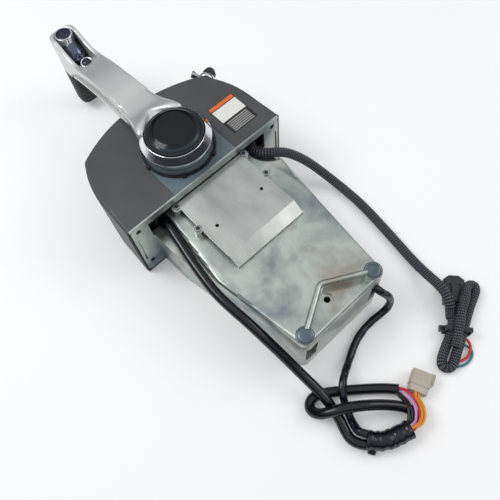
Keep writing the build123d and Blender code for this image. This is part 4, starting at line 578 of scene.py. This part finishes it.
# Film label on the dome's face: vinyl film stuck on over a black ground. It is printed with plain
# bands of colour and plain ruled lines.
label_x, label_y, label_z = (0.047, 0.078), (-0.027, 0.0125), 0.08302
label_edge, ground_thickness, film_thickness = 0.0007, 0.0001, 0.00008
line_rows, line_share = 17.0, 0.62
ruled_height, ruled_half_height = 0.2, 0.17
ruled_x, ruled_half_width = 0.0625, 0.0125
printed_vinyl, tree, shader = new_material("printed_vinyl_film")
place = add(tree, "ShaderNodeTexCoord")
parts = add(tree, "ShaderNodeSeparateXYZ", {0: place.outputs["Object"]})
up_label = add(tree, "ShaderNodeMapRange", {"Value": parts.outputs["Y"], "From Min": label_y[0],
                                            "From Max": label_y[1]})
bands = ramp(tree, up_label.outputs[0], (0.42, "#17191C"), (0.425, "#E6E5E0"), (0.84, "#E6E5E0"),
             (0.845, "#17191C"), (0.87, "#17191C"), (0.875, "#E0662F"))
rows = add(tree, "ShaderNodeMath", {0: up_label.outputs[0], 1: line_rows}, operation="MULTIPLY")
row = add(tree, "ShaderNodeMath", {0: rows.outputs[0]}, operation="FRACT")
ruled = add(tree, "ShaderNodeMath", {0: row.outputs[0], 1: line_share}, operation="GREATER_THAN")
in_band = add(tree, "ShaderNodeMath", {0: up_label.outputs[0], 1: ruled_height, 2: ruled_half_height},
              operation="COMPARE")
in_width = add(tree, "ShaderNodeMath", {0: parts.outputs["X"], 1: ruled_x, 2: ruled_half_width},
               operation="COMPARE")
on_row = add(tree, "ShaderNodeMath", {0: ruled.outputs[0], 1: in_band.outputs[0]},
             operation="MULTIPLY")
drawn = add(tree, "ShaderNodeMath", {0: on_row.outputs[0], 1: in_width.outputs[0]},
            operation="MULTIPLY")
label_tone = add(tree, "ShaderNodeMix", {0: drawn.outputs[0], 6: bands, 7: linear("#B9B9B5")},
                 data_type="RGBA")
tree.links.new(label_tone.outputs[2], shader.inputs["Base Color"])
shader.inputs["Roughness"].default_value = 0.3


def new_piece(name, points, faces, material, smooth=True):
    """A mesh object from arrays of points and faces, with its place in the mesh."""
    mesh = bpy.data.meshes.new(name)
    mesh.from_pydata(np.asarray(points).tolist(), [], [tuple(int(i) for i in face) for face in faces])
    mesh.polygons.foreach_set("use_smooth", [smooth] * len(mesh.polygons))
    mesh.materials.append(material)
    mesh.update()
    made = bpy.data.objects.new(name, mesh)
    bpy.context.scene.collection.objects.link(made)
    return made


def slab(name, x, y, z, material):
    """A plain rectangular piece of the housing between pairs of x, y and z."""
    corners = [(i, j, k) for k in z for j in y for i in x]
    faces = [(0, 2, 3, 1), (4, 5, 7, 6), (0, 1, 5, 4), (1, 3, 7, 5), (3, 2, 6, 7), (2, 0, 4, 6)]
    made = new_piece(name, corners, faces, material, False)
    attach(made, "housing")
    return made


slab("label_ground", label_x, label_y, (label_z - ground_thickness, label_z), black_abs)
slab("label_print", (label_x[0] + label_edge, label_x[1] - label_edge),
     (label_y[0] + label_edge, label_y[1] - label_edge), (label_z, label_z + film_thickness),
     printed_vinyl)

# Casting: pressure die-cast aluminium, left bare. The melt's flow and the release agent leave clouds
# of blue grey and brown some centimetres wide, with finer mottling, and the edges shine from tumbling.
# The flange's face carries on up past the rubber rim as a strip along the dome's edge.
cast_aluminium, tree, shader = new_material("pressure_cast_aluminium")
place = add(tree, "ShaderNodeTexCoord")
flow = add(tree, "ShaderNodeTexNoise", {"Vector": place.outputs["Object"], "Scale": 19.0, "Detail": 4.0,
                                        "Distortion": 0.5})
mottle = add(tree, "ShaderNodeTexNoise", {"Vector": place.outputs["Object"], "Scale": 70.0,
                                          "Detail": 3.0, "Roughness": 0.5})
flow_tone = ramp(tree, flow.outputs["Fac"], (0.30, "#75818A"), (0.42, "#A3ABA8"), (0.55, "#C3CAC4"),
                 (0.70, "#ABA499"))
mottle_tone = ramp(tree, mottle.outputs["Fac"], (0.3, "#8F9496"), (0.55, "#FFFFFF"))
tone = add(tree, "ShaderNodeMix", {0: 0.3, 6: flow_tone, 7: mottle_tone}, data_type="RGBA",
           blend_type="MULTIPLY")
tree.links.new(tone.outputs[2], shader.inputs["Base Color"])
shine = add(tree, "ShaderNodeMapRange", {"Value": flow.outputs["Fac"], "From Min": 0.3, "From Max": 0.7,
                                         "To Min": 0.42, "To Max": 0.26})
tree.links.new(shine.outputs[0], shader.inputs["Roughness"])
shader.inputs["Metallic"].default_value = 0.85
skin = add(tree, "ShaderNodeBump", {"Height": mottle.outputs["Fac"], "Strength": 0.15,
                                    "Distance": 0.0005})
tree.links.new(skin.outputs[0], shader.inputs["Normal"])
eased("lower_case", cast_aluminium, 0.5)
dress(cast_aluminium, "case_back")
strip_x, strip_y, strip_z = (-0.0905, 0.0905), (-0.0414, -0.0396), (0.0797, 0.0827)
slab("deck_strip", strip_x, strip_y, strip_z, cast_aluminium)


# End bosses: each has a machined seat with a fine ring cut in it. A rounded rib of the casting runs
# from one to the other by way of the middle, and stands a little above the roof on both sides.
def metal(name, dark, pale, rough, scale=(30.0, 30.0, 30.0), metallic=1.0):
    """Metal with a clouded tone and gloss. scale is how many clouds there are to the metre."""
    material, tree, shader = new_material(name)
    place = add(tree, "ShaderNodeTexCoord")
    stretch = add(tree, "ShaderNodeMapping", {"Vector": place.outputs["Object"], "Scale": scale})
    cloud = add(tree, "ShaderNodeTexNoise", {"Vector": stretch.outputs[0], "Scale": 1.0, "Detail": 4.0,
                                             "Roughness": 0.55})
    tree.links.new(ramp(tree, cloud.outputs["Fac"], (0.3, dark), (0.7, pale)),
                   shader.inputs["Base Color"])
    rough_level = add(tree, "ShaderNodeMapRange", {"Value": cloud.outputs["Fac"], "To Min": rough * 0.8,
                                                   "To Max": rough * 1.25})
    tree.links.new(rough_level.outputs[0], shader.inputs["Roughness"])
    shader.inputs["Metallic"].default_value = metallic
    return material


def lathe(name, place, axis, profile, material, body, sides=48):
    """A turned piece on an axis from place: place + way along * axis + radius * (cos, sin) of the turn,
    for each (radius, way along) of the profile. The last ring is closed."""
    radii, along = np.array(profile).T
    axis = np.array(axis) / np.linalg.norm(axis)
    across = np.cross(axis, (0.0, 0.0, 1.0) if abs(axis[2]) < 0.9 else (0.0, 1.0, 0.0))
    across /= np.linalg.norm(across)
    turns = np.arange(sides) / sides * 2 * np.pi
    spoke = np.cos(turns)[:, None] * across + np.sin(turns)[:, None] * np.cross(axis, across)
    points = np.array(place) + along[:, None, None] * axis + radii[:, None, None] * spoke
    points = np.concatenate((points.reshape(-1, 3), [np.array(place) + along[-1] * axis]))
    last = (len(profile) - 1) * sides
    faces = list(grid_faces(len(profile), sides, True))
    faces += [(last + i, last + (i + 1) % sides, len(points) - 1) for i in range(sides)]
    made = new_piece(name, points, faces, material)
    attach(made, body)
    return made


boss_x, boss_y, boss_z = 0.0413, -0.2086, 0.066
machined_seat = metal("machined_aluminium", "#59666C", "#717D83", 0.3,
                      scale=(60.0, 60.0, 60.0), metallic=0.9)
seat_profile = ((0.0080, -0.0003), (0.0077, 0.0006), (0.0068, 0.0008), (0.0063, 0.0003),
                (0.0061, 0.0001), (0.0056, 0.0004), (0.0030, 0.0004))
for side_name, side in (("left", -1), ("right", 1)):
    lathe(side_name + "_boss_seat", (side * boss_x, boss_y, boss_z), (0, 0, 1), seat_profile,
          machined_seat, "housing")
rib_radius, rib_flat, rib_z, near_apex = 0.0038, 0.8, 0.0634, (0.0070, -0.1894)
rib_route = ((-0.0368, -0.2060, rib_z), (-near_apex[0], near_apex[1], rib_z), (0.0, -0.1852, rib_z),
             (near_apex[0], near_apex[1], rib_z), (0.0368, -0.2060, rib_z))
rib = tube("end_rib", centre_line(rib_route), lambda along, angle: rib_radius, sides=24,
           material=cast_aluminium, flat=rib_flat)
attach(rib, "housing")

# Cover plate: rolled steel sheet, zinc plated, with its lip folded down on a brake. Four turned screws
# hold it down, and a flat black disc on each head is painted shade for its hexagon socket.
sheet_steel = metal("zinc_plated_sheet", "#A3A7A4", "#DDE1DC", 0.27, scale=(22.0, 9.0, 20.0),
                    metallic=0.9)
eased("cover_plate", sheet_steel, 0.5, steps=3)
machined_steel = metal("turned_steel", "#8C8D90", "#A9AAAC", 0.3)
eased("cover_plate_screws", machined_steel, 0.2, steps=1)
# Each socket is a flat black disc: painted shade where the hexagon recess lies.
socket_shade_z, socket_shade_profile = 0.0741, ((0.0020, -0.0001), (0.0019, 0.00004), (0.0010, 0.00005))
for number, (x, y) in enumerate(((-0.0415, -0.0446), (0.0415, -0.0446), (-0.0418, -0.0757),
                                 (0.0418, -0.0757))):
    lathe(f"painted_socket_shade_{number + 1}", (x, y, socket_shade_z), (0, 0, 1), socket_shade_profile, black_abs,
          "housing")

# Lever arm: die-cast zinc under satin silver enamel. The casting is tumbled and the enamel fills its
# flow lines, so no edge is sharp. A plate of the same finish closes its back.
silver_enamel = metal("satin_silver_enamel", "#CDD0CE", "#DBDEDB", 0.3, scale=(9.0, 9.0, 9.0),
                      metallic=0.6)


def softened(node, material, body, voxel, rounds):
    """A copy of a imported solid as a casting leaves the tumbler: its surface is rebuilt on a grid of the
    given pitch in metres and relaxed that many rounds, so every edge is round."""
    made = merged_copy(node, material)
    grid = made.modifiers.new("grid", "REMESH")
    grid.mode = "VOXEL"
    grid.voxel_size = voxel
    relax = made.modifiers.new("relax", "SMOOTH")
    relax.factor = 0.5
    relax.iterations = rounds
    bpy.context.view_layer.update()
    rebuilt = bpy.data.meshes.new_from_object(made.evaluated_get(bpy.context.evaluated_depsgraph_get()))
    made.modifiers.clear()
    made.data = rebuilt
    rebuilt.shade_smooth()
    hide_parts(node)
    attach(made, body)
    return made


arm = softened("lever_arm", silver_enamel, "lever", voxel=0.0007, rounds=16)


def smooth_through(knots, values, at):
    """Values at the given places on a curve through the knots, whose slope at each knot is the mean of
    its neighbours' (Catmull-Rom): h00 v0 + h10 m0 + h01 v1 + h11 m1."""
    slopes = np.gradient(values, knots)
    k = np.clip(np.searchsorted(knots, at) - 1, 0, len(knots) - 2)
    span = knots[k + 1] - knots[k]
    t = np.clip((at - knots[k]) / span, 0.0, 1.0)
    return ((1 + 2 * t) * (1 - t) ** 2 * values[k] + t * (1 - t) ** 2 * span * slopes[k]
            + t * t * (3 - 2 * t) * values[k + 1] + t * t * (t - 1) * span * slopes[k + 1])


# The arm's side view is drawn with straight runs. Each vertex moves up or down by as much as a smooth
# curve through the same heights differs from them, so light runs along the arm without a break.
upper_y, upper_z = np.array((
    (0.0120, 0.1048), (0.0300, 0.1048), (0.0440, 0.1008), (0.0600, 0.0994), (0.0850, 0.0994),
    (0.1150, 0.0968), (0.1360, 0.0924), (0.1520, 0.0894), (0.1680, 0.0930), (0.1810, 0.1000))).T
under_y, under_z = np.array((
    (0.0560, 0.0888), (0.0800, 0.0884), (0.1050, 0.0866), (0.1300, 0.0822), (0.1500, 0.0765),
    (0.1630, 0.0695), (0.1760, 0.0600))).T
spots = np.empty(len(arm.data.vertices) * 3)
arm.data.vertices.foreach_get("co", spots)
spots = spots.reshape(-1, 3)
y, z = spots[:, 1], spots[:, 2]
top, low = np.interp(y, upper_y, upper_z), np.interp(y, under_y, under_z)
rise = np.where((y > upper_y[0]) & (y < upper_y[-1]), smooth_through(upper_y, upper_z, y) - top, 0.0)
drop = np.where((y > under_y[0]) & (y < under_y[-1]), smooth_through(under_y, under_z, y) - low, 0.0)
share = np.clip((z - low) / (top - low), 0.0, 1.0)
spots[:, 2] += share * rise + (1 - share) * drop
arm.data.vertices.foreach_set("co", spots.ravel())

# The enamel fills the hollow where the arm grows out of the hub, so this part is relaxed further.
root_end_y, root_low_z, hub_reach, root_rounds = 0.066, 0.0905, 0.0275, 70
work = bmesh.new()
work.from_mesh(arm.data)
root = [v for v in work.verts
        if v.co.y < root_end_y and v.co.z > root_low_z and v.co.xy.length > hub_reach]
for _ in range(root_rounds):
    bmesh.ops.smooth_vert(work, verts=root, factor=0.5, use_axis_x=True, use_axis_y=True,
                          use_axis_z=True)
work.to_mesh(arm.data)
work.free()
arm.data.update()
eased("arm_back_plate", silver_enamel, 0.7, body="lever", steps=3)

# Hub: a steel bezel, polished and chrome plated, on a painted plastic skirt. A black ring guides the
# cap in it.
polished_chrome = metal("chrome_plate", "#DADCE0", "#E9EAEC", 0.05)
skirt_gloss = grained_plastic("painted_skirt", "#8A969B", "#98A4A9", rough=0.16,
                              grain_mm=2.0, depth=0.0)
eased("bezel_ring", polished_chrome, 0.5, body="lever", steps=3)
dress(skirt_gloss, "hub_skirt")
dress(black_abs, "cap_ring")

# Cap: ABS, moulded black and polished. Its outer ring is a shade of blue grey, then a near-black
# ring is painted shadow in the groove, and then comes the disc.
cap_radius = 0.025
cap_gloss_groove_shadow, tree, shader = new_material("polished_abs_cap_groove_shadow")
place = add(tree, "ShaderNodeTexCoord")
flat = add(tree, "ShaderNodeVectorMath", {0: place.outputs["Object"], 1: (1.0, 1.0, 0.0)},
           operation="MULTIPLY")
out_from_axis = add(tree, "ShaderNodeVectorMath", {0: flat.outputs[0]}, operation="LENGTH")
share = add(tree, "ShaderNodeMapRange", {"Value": out_from_axis.outputs["Value"],
                                         "From Max": cap_radius})
# The near-black stop at 0.735 is painted shadow in the groove round the disc.
tree.links.new(ramp(tree, share.outputs[0], (0.70, "#060E12"), (0.735, "#000101"), (0.77, "#080E11"),
                    (0.89, "#10191D"), (0.93, "#26343A")), shader.inputs["Base Color"])
shader.inputs["Roughness"].default_value = 0.14
shader.inputs["Specular IOR Level"].default_value = 0.32
dress(cap_gloss_groove_shadow, "hub_cap")

# Plunger: a chrome-plated barrel with a dark pad pressed into its end. It slides in a chrome guide,
# which lies in the open hollow of the arm's head; the guide's dark blue grey is a painted reflection
# of dark surroundings.
pad_navy = grained_plastic("moulded_pad", "#10162A", "#1A2236", rough=0.2, grain_mm=1.0, depth=0.0)
eased("plunger_barrel", polished_chrome, 0.25, body="plunger")
lathe("thumb_pad", (0.0, 0.186, 0.0992), (0, 0, 1), (
    (0.0079, -0.0002), (0.0078, 0.0005), (0.0072, 0.0009), (0.0050, 0.0011), (0.0020, 0.0012)),
    pad_navy, "plunger")
# The guide is chrome. Its dark tint is a painted reflection of the dark surroundings.
chrome_painted_dark_reflection = metal("chrome_plate_painted_dark_reflection", "#5B6070", "#747A88", 0.07)
lathe("barrel_guide", (0.0, 0.1850, 0.0882), (0.0, -0.80, -0.60), (
    (0.0080, 0.0), (0.0094, 0.0004), (0.0099, 0.0014), (0.0099, 0.0140), (0.0094, 0.0172),
    (0.0080, 0.0196), (0.0060, 0.0212), (0.0030, 0.0222), (0.0008, 0.0224)), chrome_painted_dark_reflection,
    "lever")

# Trim button: a dark dome on the arm's face, in a chromed surround. Next to it in the hollow are the
# solid button in black and its chromed bezel.
trim_place, trim_lean = (-0.0018, 0.1462, 0.0888), (0.0, -0.12, 1.0)
lathe("trim_surround", trim_place, trim_lean, (
    (0.0068, -0.004), (0.0068, 0.0006), (0.0064, 0.0014), (0.0056, 0.0016), (0.0052, 0.0012)),
    polished_chrome, "lever")
lathe("trim_dome", trim_place, trim_lean, (
    (0.0051, 0.0004), (0.0050, 0.0016), (0.0040, 0.0028), (0.0022, 0.0033), (0.0006, 0.0034)),
    pad_navy, "trim")
dress(polished_chrome, "trim_bezel")
dress(black_abs, "trim_button")

# Grip: rubber, moulded over the arm's end, matt and nearly black.
# Its fine grain only dulls the highlight at this distance.
dress(soft_rubber, "rubber_grip")

# Stop switch: a black toggle and a sheet clip behind a chromed nut and collar. A small turned ear
# stands off the collar's side.
dress(black_abs, "switch_body", "stop_toggle", "stop_clip")
dress(polished_chrome, "switch_nut")
collar_axis = np.array((0.78, 0.626, 0.0))
collar_place = np.array((0.0812, 0.0586, 0.0620))
lathe("switch_collar", collar_place, collar_axis, (
    (0.0070, 0.0), (0.0088, 0.0004), (0.0092, 0.0012), (0.0092, 0.0042), (0.0086, 0.0052),
    (0.0076, 0.0054), (0.0074, 0.0040)), polished_chrome, "housing")
lathe("switch_ear", (0.0805, 0.0600, 0.0655), (-0.0070, 0.0110, 0.0045), (
    (0.0024, 0.0), (0.0019, 0.0040), (0.0023, 0.0085), (0.0038, 0.0122), (0.0041, 0.0134),
    (0.0035, 0.0140), (0.0010, 0.0141)), machined_steel, "housing")

# Works inside: turned and hobbed steel, ground on its bearing faces, in bushes of sintered bronze
# that hold their own oil. The detent's block and the neutral switch are black plastic.
sintered_bronze = metal("sintered_bronze", "#9A7A46", "#B0905A", 0.4)
dress(machined_steel, "dome_screws", "bearing_frame", "main_shaft", "shaft_clip", "drive_gear",
      "detent_disc", "detent_pin", "shift_gear", "shift_shaft", "shift_arm", "shift_stud",
      "throttle_gear", "throttle_shaft", "throttle_arm", "throttle_stud", "hub_screw", "cap_spring",
      "barrel_spring")
dress(sintered_bronze, "shaft_bushes")
dress(black_abs, "detent_block", "neutral_switch")

# Connectors and the tie: glass-filled nylon, moulded. One connector is grey beige, and the other one
# and the tie are black.
connector_nylon = grained_plastic("moulded_nylon_grey", "#B0A899", "#BDB5A7", rough=0.42,
                                  grain_mm=0.7, depth=0.15)
dress(connector_nylon, "grey_connector")
dress(black_abs, "zip_tie", "black_connector")
